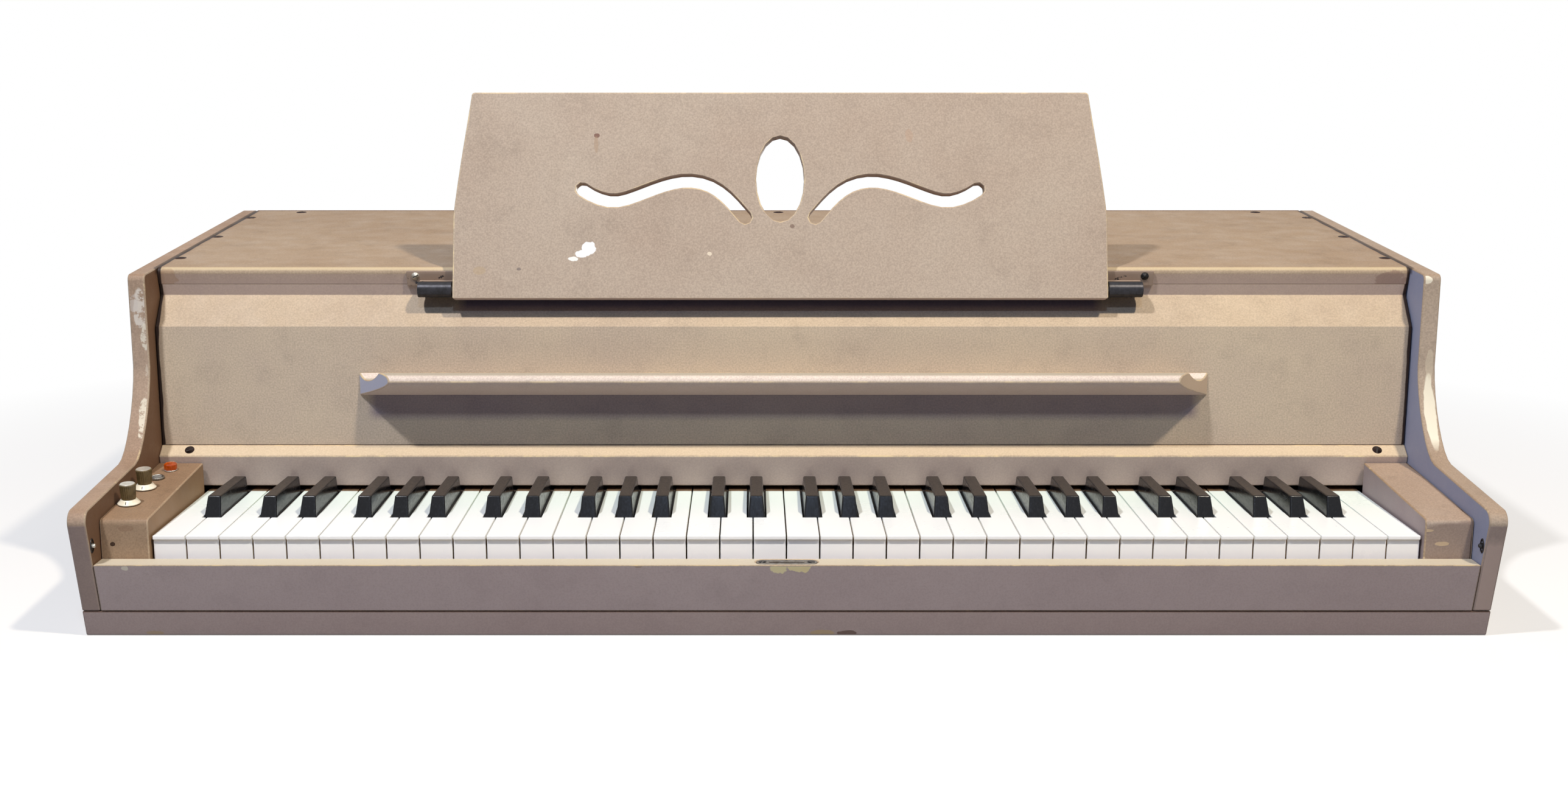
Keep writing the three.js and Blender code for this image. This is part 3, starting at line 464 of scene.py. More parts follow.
def paint(name, base, shade, patches=(), dirt=0.35, edge_wear=None, top_wear_and_shade=None, slant_highlight=0, leftward_lighting=None,
          rightward_lighting=None, flaked=None, end=None, shade_bands=(), joint=False):
    """Aged satin paint: broad tone change, fine speckle, painted light and shade, and listed patches of
    another colour.

    edge_wear gives the noise levels between which the edges wear to cream, and crown the tone of upper
    faces, worn cream and painted shade; without crown, upward faces get painted shade and some dust, and
    downward faces always get a mauve painted shade. rubbed is the share of cream on the faces that slant up
    and forward, a painted highlight with some wear. leftward and rightward are the tones of the faces that
    look to either side, painted light and shade as from lamps on either side. flaked is the scale of the
    noise that breaks the patches up, and end is the half width of a board with dark ends. Each entry of
    grime is a band of painted shade, and joint darkens the edge beside the top board.
    """
    shader = Shader("paint_" + name)
    tone = aged_coat(shader, base, shade, dirt)
    if edge_wear:
        worn = shader.span(shader.noise(45, 5, 0.7), *edge_wear)
        tone = shader.mix(worn, tone, CREAM)
    # Upper faces get their own tone: worn cream with painted shade
    if top_wear_and_shade:
        tone = shader.mix(shader.span(shader.facing_up, 0.8, 0.95, 0, 0.8), tone, srgb(*top_wear_and_shade))
    else:
        # Upward faces darkened: painted shade, with some dust
        tone = shader.mix(shader.span(shader.facing_up, 0.15, 0.8), tone, UPWARD_SHADE_AND_DUST, "MULTIPLY")
    # Faces that look down get a mauve painted shade
    tone = shader.mix(shader.span(shader.facing_up, -0.2, -0.1, 0.6, 0), tone, DOWNWARD_SHADE)
    # Painted highlight on the faces that slant up and forward
    if slant_highlight:
        tone = painted_slant_highlight(shader, tone, slant_highlight)
    tone = painted_side_light(shader, tone, leftward_lighting, rightward_lighting)
    tone = patched(shader, tone, patches, flaked)
    if end:
        tone = dark_ends(shader, tone, end)
    # Bands of painted shade
    for band in shade_bands:
        tone = painted_shade_band(shader, tone, **band)
    if joint:
        tone = dark_joint(shader, tone)
    shader.colour(tone)
    shader.gloss(shader.span(shader.noise(55, 3), 0.3, 0.7, 0.5, 0.68))
    shader.constant("Specular IOR Level", PAINT_SPECULAR)
    peel = shader.math("ADD", shader.noise(520, 2, 0.5), shader.product(shader.noise(60, 2), 2))
    shader.bump(peel, 0.35, 0.12)
    return shader.material


# Wood, plastic, metal and fibre board

WOOD_LIGHT = srgb(205, 172, 122)
WOOD_DARK = srgb(168, 128, 80)
# Dark brown of the key sticks behind the covers: dark wood with painted shade under the fall strip
STICK_STAIN_AND_SHADE = srgb(64, 40, 26)


def stretched(axis, along, across):
    """Scale of a texture along one axis, and across it."""
    return [along if name == axis else across for name in "xyz"]


def wood(shader, axis):
    """Colour of plain straight-grained wood with its grain along one axis."""
    grain = shader.noise(3, 6, 0.65, shader.scaled(stretched(axis, 4, 90)))
    return shader.mix(shader.span(grain, 0.35, 0.68), WOOD_LIGHT, WOOD_DARK)


def raw_wood(name, axis):
    shader = Shader(name)
    shader.colour(wood(shader, axis))
    shader.gloss(0.7)
    shader.bump(shader.noise(900, 3), 0.2, 0.1)
    return shader.material


def white_plastic(shader):
    """Colour of old white keys: near white and faintly green towards the back; the front faces are painted
    lighter, a painted highlight.
    """
    tone = shader.mix(shader.span(shader.noise(9, 3), 0.35, 0.7), srgb(246, 247, 245), srgb(242, 242, 238))
    back = shader.span_mm(shader.y, *GREENISH, 0, 0.8)
    tone = shader.mix(back, tone, srgb(230, 243, 234))
    # Front faces painted lighter: painted light on the key fronts
    front = shader.span(shader.facing_back, -0.8, -0.6, 1, 0)
    return shader.mix(front, tone, srgb(253, 252, 250))


def white_keys(name):
    """White plastic on the top and front of the keys, and wood below and behind."""
    shader = Shader(name)
    cover = shader.span_mm(shader.z, WHITE_COVER_FOOT, WHITE_COVER_FOOT + COVER_BLEND)
    visible = shader.span_mm(shader.y, WHITE_COVER_END, WHITE_COVER_END + END_BLEND, 1, 0)
    front_end = KEY_FRONT + FRONT_COVER
    front = shader.span_mm(shader.y, front_end, front_end + COVER_BLEND, 1, 0)
    plastic = shader.math("MAXIMUM", shader.product(cover, visible), front)
    # The sticks behind the covers darken towards the back: dark wood with painted shade under the fall strip
    stain_and_shade = shader.span_mm(shader.y, STICK_SHADE_START, WHITE_COVER_END, 0, 0.85)
    stick = shader.mix(stain_and_shade, wood(shader, "y"), STICK_STAIN_AND_SHADE)
    shader.colour(shader.mix(plastic, stick, white_plastic(shader)))
    worn = shader.span(shader.noise(18, 4, 0.6), 0.35, 0.7, 0.26, 0.36)
    shader.gloss(shader.mix(plastic, (0.75, 0.75, 0.75, 1), worn))
    shader.bump(shader.noise(240, 3), 0.05, 0.05)
    return shader.material


def black_keys(name):
    """Black gloss caps over a stick stained black, dusty and worn grey on top."""
    shader = Shader(name)
    dust = shader.span(shader.noise(700, 4, 0.7), 0.4, 0.7, 0.25, 0.85)
    top = shader.span(shader.facing_up, 0.8, 0.97)
    cap = shader.mix(shader.product(dust, top), srgb(13, 14, 18), srgb(84, 74, 66))
    above = shader.span_mm(shader.z, BLACK_CAP_FOOT, BLACK_CAP_FOOT + COVER_BLEND)
    stick = shader.mix(0.85, wood(shader, "y"), srgb(34, 30, 28))
    shader.colour(shader.mix(above, stick, cap))
    scratch = shader.noise(9, 4, 0.6, shader.scaled((90, 14, 60)))
    smear = shader.span(scratch, 0.35, 0.7, 0.16, 0.3)
    shader.gloss(shader.mix(top, smear, (0.5, 0.5, 0.5, 1)))
    shader.constant("Specular IOR Level", 0.2)
    shader.constant("Coat Weight", 0.04)
    shader.constant("Coat Roughness", 0.08)
    shader.bump(shader.noise(420, 3), 0.05, 0.05)
    return shader.material


def metal(name, base, tarnish, roughness=0.32, metallic=1.0):
    """Metal with fine brushed lines from side to side and patches of tarnish."""
    shader = Shader(name)
    lines = shader.noise(2, 3, 0.6, shader.scaled(stretched("x", 20, 900)))
    patch = shader.span(shader.noise(170, 4, 0.7), 0.45, 0.72)
    tone = shader.mix(patch, srgb(*base), srgb(*tarnish))
    shader.colour(shader.mix(shader.span(lines, 0.4, 0.6, 0, 0.25), tone, srgb(*tarnish)))
    shader.constant("Metallic", metallic)
    shader.gloss(shader.span(patch, 0, 1, roughness, roughness + 0.2))
    shader.bump(lines, 0.12, 0.05)
    return shader.material


# Hinge: how far from its axis the bare barrel ends and the painted flange starts, in millimetres
BARREL_RADIUS = 6.3
FLANGE_RADIUS = 6.5


def hinge_steel(name, base, tarnish, painted):
    """Blackened steel barrel, with chipped paint on the flange that lies off the hinge axis."""
    shader = Shader(name)
    patch = shader.span(shader.noise(300, 4, 0.7), 0.4, 0.7)
    steel = shader.mix(patch, srgb(*base), srgb(*tarnish))
    across = shader.math("SUBTRACT", shader.y, HINGE_Y * MM)
    height = shader.math("SUBTRACT", shader.z, HINGE_Z * MM)
    away = shader.math("ADD", shader.math("POWER", across, 2), shader.math("POWER", height, 2))
    flange = shader.span(away, (BARREL_RADIUS * MM) ** 2, (FLANGE_RADIUS * MM) ** 2)
    chipped = shader.span(shader.noise(190, 4, 0.7), 0.6, 0.64, 1, 0)
    coated = shader.product(flange, chipped)
    shader.colour(shader.mix(coated, steel, srgb(*painted)))
    shader.set(shader.surface.inputs["Metallic"], shader.span(coated, 0, 1, 0.6, 0))
    shader.gloss(shader.span(coated, 0, 1, 0.38, 0.55))
    shader.bump(shader.noise(700, 3), 0.2, 0.06)
    return shader.material


def hardboard(name):
    """Brown pressed fibre board, smooth and a little shiny, with short dark fibres."""
    shader = Shader(name)
    fibre = shader.noise(5, 5, 0.75, shader.scaled((240, 90, 150)))
    tone = shader.mix(shader.span(fibre, 0.36, 0.66), srgb(122, 88, 58), srgb(78, 54, 36))
    stain = shader.span(shader.noise(6, 4, 0.6), 0.5, 0.75, 0, 0.5)
    shader.colour(shader.mix(stain, tone, srgb(66, 48, 36)))
    shader.gloss(shader.span(fibre, 0.3, 0.7, 0.45, 0.65))
    shader.bump(fibre, 0.15, 0.1)
    return shader.material


def plastic(name, base, shade, roughness):
    """Moulded plastic with faint mottling and fine wear."""
    shader = Shader(name)
    shader.colour(shader.mix(shader.span(shader.noise(260, 4), 0.4, 0.7), srgb(*base), srgb(*shade)))
    shader.gloss(shader.span(shader.noise(520, 3), 0.3, 0.7, roughness, roughness + 0.15))
    shader.bump(shader.noise(900, 2), 0.08, 0.05)
    return shader.material


def jewel(name):
    """Orange glass of the pilot lamp, a little lit from behind."""
    shader = Shader(name)
    depth = shader.span(shader.noise(260, 3), 0.35, 0.7)
    shader.colour(shader.mix(depth, srgb(204, 88, 16), srgb(152, 50, 8)))
    shader.gloss(shader.span(depth, 0, 1, 0.08, 0.16))
    shader.constant("Transmission Weight", 0.35)
    shader.constant("Emission Color", srgb(255, 116, 20))
    shader.constant("Emission Strength", 0.05)
    return shader.material


# Softened edges on the carried-over nodes

SHARP_DEG = 50
FLAT_DEG = 0.6
BEVEL_DEG = 34


def smooth_by_angle(limit_deg):
    """Node group that shades smooth, but for edges sharper than the limit."""
    group = bpy.data.node_groups.new("smooth_by_angle", "GeometryNodeTree")
    group.interface.new_socket("Geometry", in_out="INPUT", socket_type="NodeSocketGeometry")
    group.interface.new_socket("Geometry", in_out="OUTPUT", socket_type="NodeSocketGeometry")
    start = group.nodes.new("NodeGroupInput")
    end = group.nodes.new("NodeGroupOutput")
    faces = group.nodes.new("GeometryNodeSetShadeSmooth")
    edges = group.nodes.new("GeometryNodeSetShadeSmooth")
    edges.domain = "EDGE"
    angle = group.nodes.new("GeometryNodeInputMeshEdgeAngle")
    gentle = group.nodes.new("ShaderNodeMath")
    gentle.operation = "LESS_THAN"
    gentle.inputs[1].default_value = math.radians(limit_deg)
    group.links.new(start.outputs[0], faces.inputs[0])
    group.links.new(faces.outputs[0], edges.inputs[0])
    group.links.new(angle.outputs["Unsigned Angle"], gentle.inputs[0])
    group.links.new(gentle.outputs[0], edges.inputs["Shade Smooth"])
    group.links.new(edges.outputs[0], end.inputs[0])
    return group


SMOOTH = smooth_by_angle(SHARP_DEG)


def soften(node, width, segments, edge_slot, weld_reach):
    """Rounds the sharp edges of a carried-over node by width, in millimetres."""
    if "custom_normal" in node.data.attributes:
        node.data.attributes.remove(node.data.attributes["custom_normal"])
    weld = node.modifiers.new("weld", "WELD")
    weld.merge_threshold = weld_reach * MM
    flat = node.modifiers.new("flat", "DECIMATE")
    flat.decimate_type = "DISSOLVE"
    flat.angle_limit = math.radians(FLAT_DEG)
    if width:
        bevel = node.modifiers.new("bevel", "BEVEL")
        bevel.width = width * MM
        bevel.segments = segments
        bevel.limit_method = "ANGLE"
        bevel.angle_limit = math.radians(BEVEL_DEG)
        bevel.use_clamp_overlap = False
        bevel.material = edge_slot
    smooth = node.modifiers.new("smooth", "NODES")
    smooth.node_group = SMOOTH
    weigh = node.modifiers.new("weigh", "WEIGHTED_NORMAL")
    weigh.keep_sharp = True


def dress(name, *materials, width=0.5, segments=2, weld_reach=0.01):
    """Gives a carried-over node its materials; a second one goes on its rounded edges."""
    node = nodes[name]
    node.data.materials.clear()
    for material in materials:
        node.data.materials.append(material)
    edge_slot = 1 if len(materials) > 1 else -1
    soften(node, width, segments, edge_slot, weld_reach)


# Tools for small fittings in mesh code


def stand(place, axis):
    """Matrix whose local Z runs along axis from place, in millimetres."""
    turn = Vector(axis).normalized().to_track_quat("Z", "Y").to_matrix().to_4x4()
    return Matrix.Translation([value * MM for value in place]) @ turn @ Matrix.Scale(MM, 4)


def lathe(work, matrix, profile, steps=48, material=0, wave=None):
    """Revolves a profile of radius and height; wave adds to the radius by angle and height."""
    rings = []
    for radius, height in profile:
        if radius == 0:
            rings.append([work.verts.new(matrix @ Vector((0, 0, height)))])
            continue
        ring = []
        for step in range(steps):
            angle = 2 * math.pi * step / steps
            reach = radius + (wave(angle, height) if wave else 0)
            place = Vector((reach * math.cos(angle), reach * math.sin(angle), height))
            ring.append(work.verts.new(matrix @ place))
        rings.append(ring)
    for low, high in zip(rings, rings[1:]):
        for step in range(steps):
            after = (step + 1) % steps
            corners = [low[step % len(low)], low[after % len(low)]]
            corners += [high[after % len(high)], high[step % len(high)]]
            face = work.faces.new(list(dict.fromkeys(corners)))
            face.material_index = material


def plate(work, matrix, outer, holes, foot, top, material=0, shrink=0.0):
    """Flat plate with holes between two heights; its upper outline is drawn in by shrink."""
    middle = sum((Vector(point) for point in outer), Vector((0, 0))) / len(outer)
    upper = [Vector(point) - (Vector(point) - middle).normalized() * shrink for point in outer]
    levels = []
    for height, outline in ((foot, outer), (top, upper)):
        rings = [outline, *holes]
        places = [[matrix @ Vector((*point, height)) for point in ring] for ring in rings]
        levels.append([[work.verts.new(place) for place in ring] for ring in places])
    triangles = tessellate_polygon([[Vector((*point, 0)) for point in ring] for ring in (outer, *holes)])
    for level, order in zip(levels, (-1, 1)):
        every = [vertex for ring in level for vertex in ring]
        for triangle in triangles:
            face = work.faces.new([every[index] for index in triangle[::order]])
            face.material_index = material
    for low, high in zip(*levels):
        for step in range(len(low)):
            after = (step + 1) % len(low)
            face = work.faces.new([low[step], low[after], high[after], high[step]])
            face.material_index = material


def circle(radius, steps=32, centre=(0, 0)):
    turns = [2 * math.pi * step / steps for step in range(steps)]
    return [(centre[0] + radius * math.cos(turn), centre[1] + radius * math.sin(turn)) for turn in turns]


def rectangle(half_width, half_depth):
    """Corners of a rectangle about the origin."""
    return [(x * half_width, y * half_depth) for x, y in ((-1, -1), (1, -1), (1, 1), (-1, 1))]


def rounded_square(width, radius, steps):
    """Square about the origin with rounded corners."""
    points = []
    middle = width / 2 - radius
    for quarter, (x, y) in enumerate(((1, 1), (-1, 1), (-1, -1), (1, -1))):
        for step in range(steps + 1):
            turn = math.pi / 2 * (quarter + step / steps)
            points.append((x * middle + radius * math.cos(turn), y * middle + radius * math.sin(turn)))
    return points


def finish_piece(name, work, materials, body, smooth_deg=40, bevel=0.0):
    """Turns the worked mesh into a named piece that rides on a CAD body."""
    bmesh.ops.remove_doubles(work, verts=work.verts, dist=0.001 * MM)
    bmesh.ops.recalc_face_normals(work, faces=work.faces)
    for face in work.faces:
        face.smooth = True
    mesh = bpy.data.meshes.new(name)
    work.to_mesh(mesh)
    work.free()
    mesh.set_sharp_from_angle(angle=math.radians(smooth_deg))
    for material in materials:
        mesh.materials.append(material)
    made = add_object(name, mesh)
    if bevel:
        rounding = made.modifiers.new("bevel", "BEVEL")
        rounding.width = bevel * MM
        rounding.segments = 2
        rounding.angle_limit = math.radians(40)
    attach(made, body)
    return made


# Screws: shares of the head's radius, and heights above what carries it, in millimetres

HEAD_FLAT = 0.93
HEAD_FOOT = -0.6
HEAD_RIM = 0.05
HEAD_TOP = 0.2
SLOT_WIDTH = 0.14
SLOT_LENGTH = 0.82
SLOT_BED = -0.3
SLOT_FLOOR = 0.05

# Turns of the screws in one piece: the first one's, and what each next one adds, in degrees
BOARD_TURNS = (25, 47)
LEG_TURNS = (20, 53)
LOCK_TURNS = (-50, 120)


def turn_of(index, turns):
    first, further = turns
    return first + further * index


def screw(work, matrix, radius, turn_deg, slot_floor=SLOT_FLOOR):
    """Slotted screw head with a bevelled rim; the floor of its slot has the second material, painted shade
    in the slot.
    """
    turned = matrix @ Matrix.Rotation(math.radians(turn_deg), 4, "Z")
    flat = radius * HEAD_FLAT
    lathe(work, turned, [(radius, HEAD_FOOT), (radius, HEAD_RIM), (flat, HEAD_TOP)], steps=32)
    slot = rectangle(radius * SLOT_LENGTH, radius * SLOT_WIDTH)
    plate(work, turned, circle(flat), [slot], SLOT_BED, HEAD_TOP)
    plate(work, turned, slot, [], SLOT_BED, slot_floor, material=1)


def screws(name, node, starts, direction, radius, materials, lift=0.0, slot_floor=SLOT_FLOOR):
    """One piece: a screw wherever a line from a start, along the direction, meets the node."""
    mesh = nodes[node].data
    corners = [vertex.co for vertex in mesh.vertices]
    skin = BVHTree.FromPolygons(corners, [face.vertices for face in mesh.polygons])
    work = bmesh.new()
    for index, start in enumerate(starts):
        place, normal, _, _ = skin.ray_cast(Vector(start) * MM, Vector(direction))
        sunk = place / MM + normal * lift
        screw(work, stand(sunk, normal), radius, turn_of(index, BOARD_TURNS), slot_floor)
    finish_piece(name, work, materials, body_of_node[node])


# Controls on the left cheek block: outlines of radius and height above the block, in millimetres

CONTROL_AXIS = joints["volume_turn"]["axis"]
WAVE_STEPS = 6

KNOB_SHAFT = [(3.0, -9.5), (3.0, 0.6)]
KNOB_SKIRT = [(0, 0.6), (7.4, 0.6), (8.0, 0.8), (8.0, 1.3), (7.7, 1.6), (5.9, 3.6), (5.4, 4.1), (0, 4.1)]
KNOB_CAP = [(0, 15.2), (5.2, 15.2), (5.2, 15.45), (5.0, 15.6), (3.2, 15.5), (0, 15.42)]
GRIP_FOOT = [(0, 4.1), (4.9, 4.1), (5.1, 4.5)]
GRIP_HEAD = [(5.7, 15.1), (5.4, 15.3), (0, 15.3)]
GRIP_START = (5.1, 4.6)
GRIP_GROWTH = (0.75, 10.2)
GRIP_RINGS = 10
FLUTES = 24
FLUTE_DEPTH = 0.28
FLUTE_START = 4.6
FLUTE_RUN_IN = 1.5
FLUTE_END = 14.9
FLUTE_RUN_OUT = 1.0
POINTER_HALF_WIDTH = 0.28
POINTER_HALF_LENGTH = 1.05
POINTER_PLACE = (0, -6.8, 2.68)
POINTER_TILT_DEG = 48
POINTER_BED = -0.25
POINTER_TOP = 0.06

FUSE_BEHIND = 60
FUSE_SHANK = [(2.8, -8), (2.8, 0.3)]
FUSE_RIM = [(0, 0.3), (5.3, 0.3), (5.6, 0.5), (5.6, 1.6), (5.3, 1.9), (4.3, 2.0), (4.0, 1.5), (0, 1.5)]
FUSE_CENTRE = [(0, 1.4), (3.6, 1.4), (3.5, 1.9), (2.4, 2.3), (0, 2.4)]
MILLED_TEETH = 30
MILLED_DEPTH = 0.18
MILLED_FOOT = 0.35
MILLED_HEAD = 1.8

LENS_BEHIND = 81
LENS_SHANK = [(3.7, -6), (3.7, 0.3)]
LENS_COLLAR = [(0, 0.3), (4.9, 0.3), (4.9, 0.7), (4.6, 0.9), (0, 0.9)]
LENS_GLASS = [(0, 0.9), (4.6, 0.9), (4.85, 1.5), (4.85, 4.9), (4.2, 5.8), (3.0, 6.0), (0, 6.0)]
LENS_FACETS = 8


def on_block(node, behind):
    """Place of a fixed control on the block's sloping top, by how far it is behind the volume knob."""
    x = (lowest(node).x + highest(node).x) / 2
    knob_place = pivot("volume_turn")
    slope = -CONTROL_AXIS[1] / CONTROL_AXIS[2]
    return x, knob_place.y + behind, knob_place.z + behind * slope


def rounded_wave(count, angle):
    """0 to 1 and back, count times in a turn."""
    return 0.5 - 0.5 * math.cos(count * angle)


def flute(angle, height):
    run_in = max(0, (height - FLUTE_START) / FLUTE_RUN_IN)
    run_out = max(0, (FLUTE_END - height) / FLUTE_RUN_OUT)
    return -FLUTE_DEPTH * min(1, run_in, run_out) * rounded_wave(FLUTES, angle)


def milling(angle, height):
    return -MILLED_DEPTH * rounded_wave(MILLED_TEETH, angle) if MILLED_FOOT < height < MILLED_HEAD else 0


def knob(name, joint, materials):
    """Control knob: shaft, skirt with a pointer line, fluted grip and a turned metal cap."""
    skirt, grip, turned, ink = range(len(materials))
    base = stand(pivot(joint), CONTROL_AXIS)
    work = bmesh.new()
    lathe(work, base, KNOB_SHAFT, steps=24, material=turned)
    lathe(work, base, KNOB_SKIRT, steps=64, material=skirt)
    shares = [step / GRIP_RINGS for step in range(GRIP_RINGS + 1)]
    (radius, height), (swell, rise) = GRIP_START, GRIP_GROWTH
    side = [(radius + swell * share, height + rise * share) for share in shares]
    lathe(work, base, GRIP_FOOT + side + GRIP_HEAD, FLUTES * WAVE_STEPS, grip, flute)
    lathe(work, base, KNOB_CAP, steps=64, material=turned)
    tilt = Matrix.Rotation(math.radians(POINTER_TILT_DEG), 4, "X")
    pointer = rectangle(POINTER_HALF_WIDTH, POINTER_HALF_LENGTH)
    plate(work, base @ Matrix.Translation(POINTER_PLACE) @ tilt, pointer, [], POINTER_BED, POINTER_TOP, ink)
    made = finish_piece(name + "_dressed", work, materials, joints[joint]["child"])
    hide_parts(name)


def fuse(materials):
    """Screw cap with a milled rim, a sunk ring and a grey domed centre."""
    rim, centre = range(len(materials))
    base = stand(on_block("fuse_cap", FUSE_BEHIND), CONTROL_AXIS)
    work = bmesh.new()
    lathe(work, base, FUSE_SHANK, steps=24, material=rim)
    lathe(work, base, FUSE_RIM, MILLED_TEETH * WAVE_STEPS, rim, milling)
    lathe(work, base, FUSE_CENTRE, steps=40, material=centre)
    made = finish_piece("fuse_cap_dressed", work, materials, "case")
    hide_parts("fuse_cap")


def pilot(materials):
    """Faceted lens on a thin collar."""
    glass, collar = range(len(materials))
    base = stand(on_block("pilot_lamp", LENS_BEHIND), CONTROL_AXIS)
    work = bmesh.new()
    lathe(work, base, LENS_SHANK, steps=24, material=collar)
    lathe(work, base, LENS_COLLAR, steps=48, material=collar)
    facets = base @ Matrix.Rotation(math.pi / LENS_FACETS, 4, "Z")
    lathe(work, facets, LENS_GLASS, steps=LENS_FACETS, material=glass)
    made = finish_piece("pilot_lamp_dressed", work, materials, "case", smooth_deg=12, bevel=0.12)
    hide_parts("pilot_lamp")


# Catch pins, leg plates and lock, in millimetres

PIN_DEPTH = -230.0
PIN_HEIGHT = 68.8
CUP_RADIUS = 3.6
CUP_LENGTH = 1.5
CUP_BORE = (0.62, 1.05)
CUP_FOOT = -0.2
CUP_TOP = 0.5
CUP_SHRINK = 0.4
CUP_FLOOR = [(0, -0.4), (2.3, -0.4), (2.3, 0.15), (0, 0.15)]
CATCH_PIN = [(1.5, 0), (1.5, 2.0), (1.2, 2.5), (0, 2.7)]

LEG_INSET = 71
LEG_FRONT_INSET = 93
LEG_ROWS = {"front": LEG_FRONT_INSET - HALF_DEPTH, "back": HALF_DEPTH - LEG_INSET}
LEG_SEAT_HEIGHT = 2.4
LEG_PLATE_SIZE = 60
LEG_PLATE_CORNER = 6
LEG_PLATE_FOOT = 0.1
LEG_PLATE_TOP = 1.6
LEG_PLATE_SHRINK = 0.3
LEG_SCREW_REACH = 23.5
LEG_SCREW_HOLE = 2.9
LEG_SCREW_RADIUS = 2.8
LEG_SCREW_DROP = 0.15
LEG_COLLAR = [(7.5, 1.5), (7.5, 1.8), (7.1, 2.1), (5.4, 2.1), (5.0, 1.7)]
SOCKET_RADIUS = 5.0
SOCKET_TOP = 1.8
SOCKET_FLOOR = [(4.6, -0.4), (0, -0.4)]
THREAD_DEPTH = 0.35
THREAD_FLANK = 0.45
THREAD_STEPS = 5

LOCK_SCREW_REACH = 17
LOCK_SCREW_RADIUS = 2.9
LOCK_SCREW_DROP = 0.1
BOLT_HALF_WIDTH = 7
BOLT_HALF_DEPTH = 1.0
BOLT_FOOT = -6.5
BOLT_TOP = -2.2


def arm_pin(side, materials):
    """Small catch pin in an oval cup on the inner face of an arm."""
    pin, cup, hollow_shade = range(len(materials))
    sign = SIDES[side]
    base = stand((sign * SIDE_INNER, PIN_DEPTH, PIN_HEIGHT), (-sign, 0, 0))
    work = bmesh.new()
    ring = circle(CUP_RADIUS, 40)
    oval = [(x, y * CUP_LENGTH) for x, y in ring]
    bore = [(x * CUP_BORE[0], y * CUP_BORE[1]) for x, y in ring]
    plate(work, base, oval, [bore], CUP_FOOT, CUP_TOP, cup, CUP_SHRINK)
    # The cup's dark floor is painted shade in the bore
    lathe(work, base, CUP_FLOOR, steps=32, material=hollow_shade)
    lathe(work, base, CATCH_PIN, steps=32, material=pin)
    finish_piece("arm_pin_" + side, work, materials, "case")


def leg_plate(row, side, materials):
    """Square steel plate in the underside, with four screws and a threaded socket for a leg."""
    plain, hollow_shade = range(len(materials))
    leg_x = SIDES[side] * (HALF_WIDTH - LEG_INSET)
    base = stand((leg_x, LEG_ROWS[row], LEG_SEAT_HEIGHT), (0, 0, -1))
    work = bmesh.new()
    corners = [(x * LEG_SCREW_REACH, y * LEG_SCREW_REACH) for x in (-1, 1) for y in (-1, 1)]
    holes = [circle(LEG_SCREW_HOLE, 20, corner) for corner in corners]
    holes.append(circle(SOCKET_RADIUS))
    square = rounded_square(LEG_PLATE_SIZE, LEG_PLATE_CORNER, steps=6)
    plate(work, base, square, holes, LEG_PLATE_FOOT, LEG_PLATE_TOP, plain, LEG_PLATE_SHRINK)
    lathe(work, base, LEG_COLLAR, steps=40, material=plain)
    thread = []
    for step in range(THREAD_STEPS):
        thread.append((SOCKET_RADIUS - THREAD_DEPTH * (step % 2), SOCKET_TOP - THREAD_FLANK * step))
    # The socket's thread and floor are dark: painted shade in the socket
    lathe(work, base, thread + SOCKET_FLOOR, steps=40, material=hollow_shade)
    for index, (x, y) in enumerate(corners):
        place = base @ Matrix.Translation((x, y, LEG_PLATE_TOP - LEG_SCREW_DROP))
        screw(work, place, LEG_SCREW_RADIUS, turn_of(index, LEG_TURNS))
    finish_piece(f"leg_plate_{row}_{side}", work, materials, "case")


def lock_details(materials):
    """Two screws, and the well of the lock in its plate, darkened by a block of painted shade."""
    low, high = lowest("lock_plate"), highest("lock_plate")
    base = stand((0, (low.y + high.y) / 2, high.z), (0, 0, 1))
    work = bmesh.new()
    for index, x in enumerate((-LOCK_SCREW_REACH, LOCK_SCREW_REACH)):
        place = base @ Matrix.Translation((x, 0, -LOCK_SCREW_DROP))
        screw(work, place, LOCK_SCREW_RADIUS, turn_of(index, LOCK_TURNS))
    plate(work, base, rectangle(BOLT_HALF_WIDTH, BOLT_HALF_DEPTH), [], BOLT_FOOT, BOLT_TOP, material=1)
    finish_piece("lock_details", work, materials, "case", bevel=0.15)


# The scene

bpy.context.scene.view_settings.view_transform = "Standard"
camera()
for name, (direction, power, colour) in LAMPS.items():
    lamp(name, direction, power, colour)
world()
floor()

# Marks on the paint: centre and reach, across and up in millimetres, raggedness, grain, colour and strength

DESK_PATCHES = [
    ((-149, 257.5), (5.2, 5.6), 1.1, 210, (246, 246, 244), 1.0),
    ((-154.5, 253.5), (5.0, 3.0), 1.1, 230, (242, 242, 238), 1.0),
    ((-160.5, 249.6), (3.6, 1.7), 1.1, 240, (240, 238, 230), 1.0),
    ((-232, 241), (5.0, 3.2), 0.6, 110, (176, 152, 118), 0.45),
    ((-202, 242), (1.6, 1.0), 0.8, 240, (110, 100, 96), 0.7),
    ((-143, 341.5), (2.2, 1.8), 0.8, 160, (112, 76, 64), 0.85),
    ((-143.5, 335), (1.8, 6.0), 0.8, 160, (160, 132, 104), 0.45),
    ((-56.6, 253.5), (1.8, 1.5), 0.9, 200, (226, 210, 186), 0.9),
    ((6.4, 274), (1.8, 1.5), 0.9, 200, (112, 88, 74), 0.7),
    ((96, 342), (3.0, 5.0), 1.0, 120, (176, 142, 116), 0.35),
]
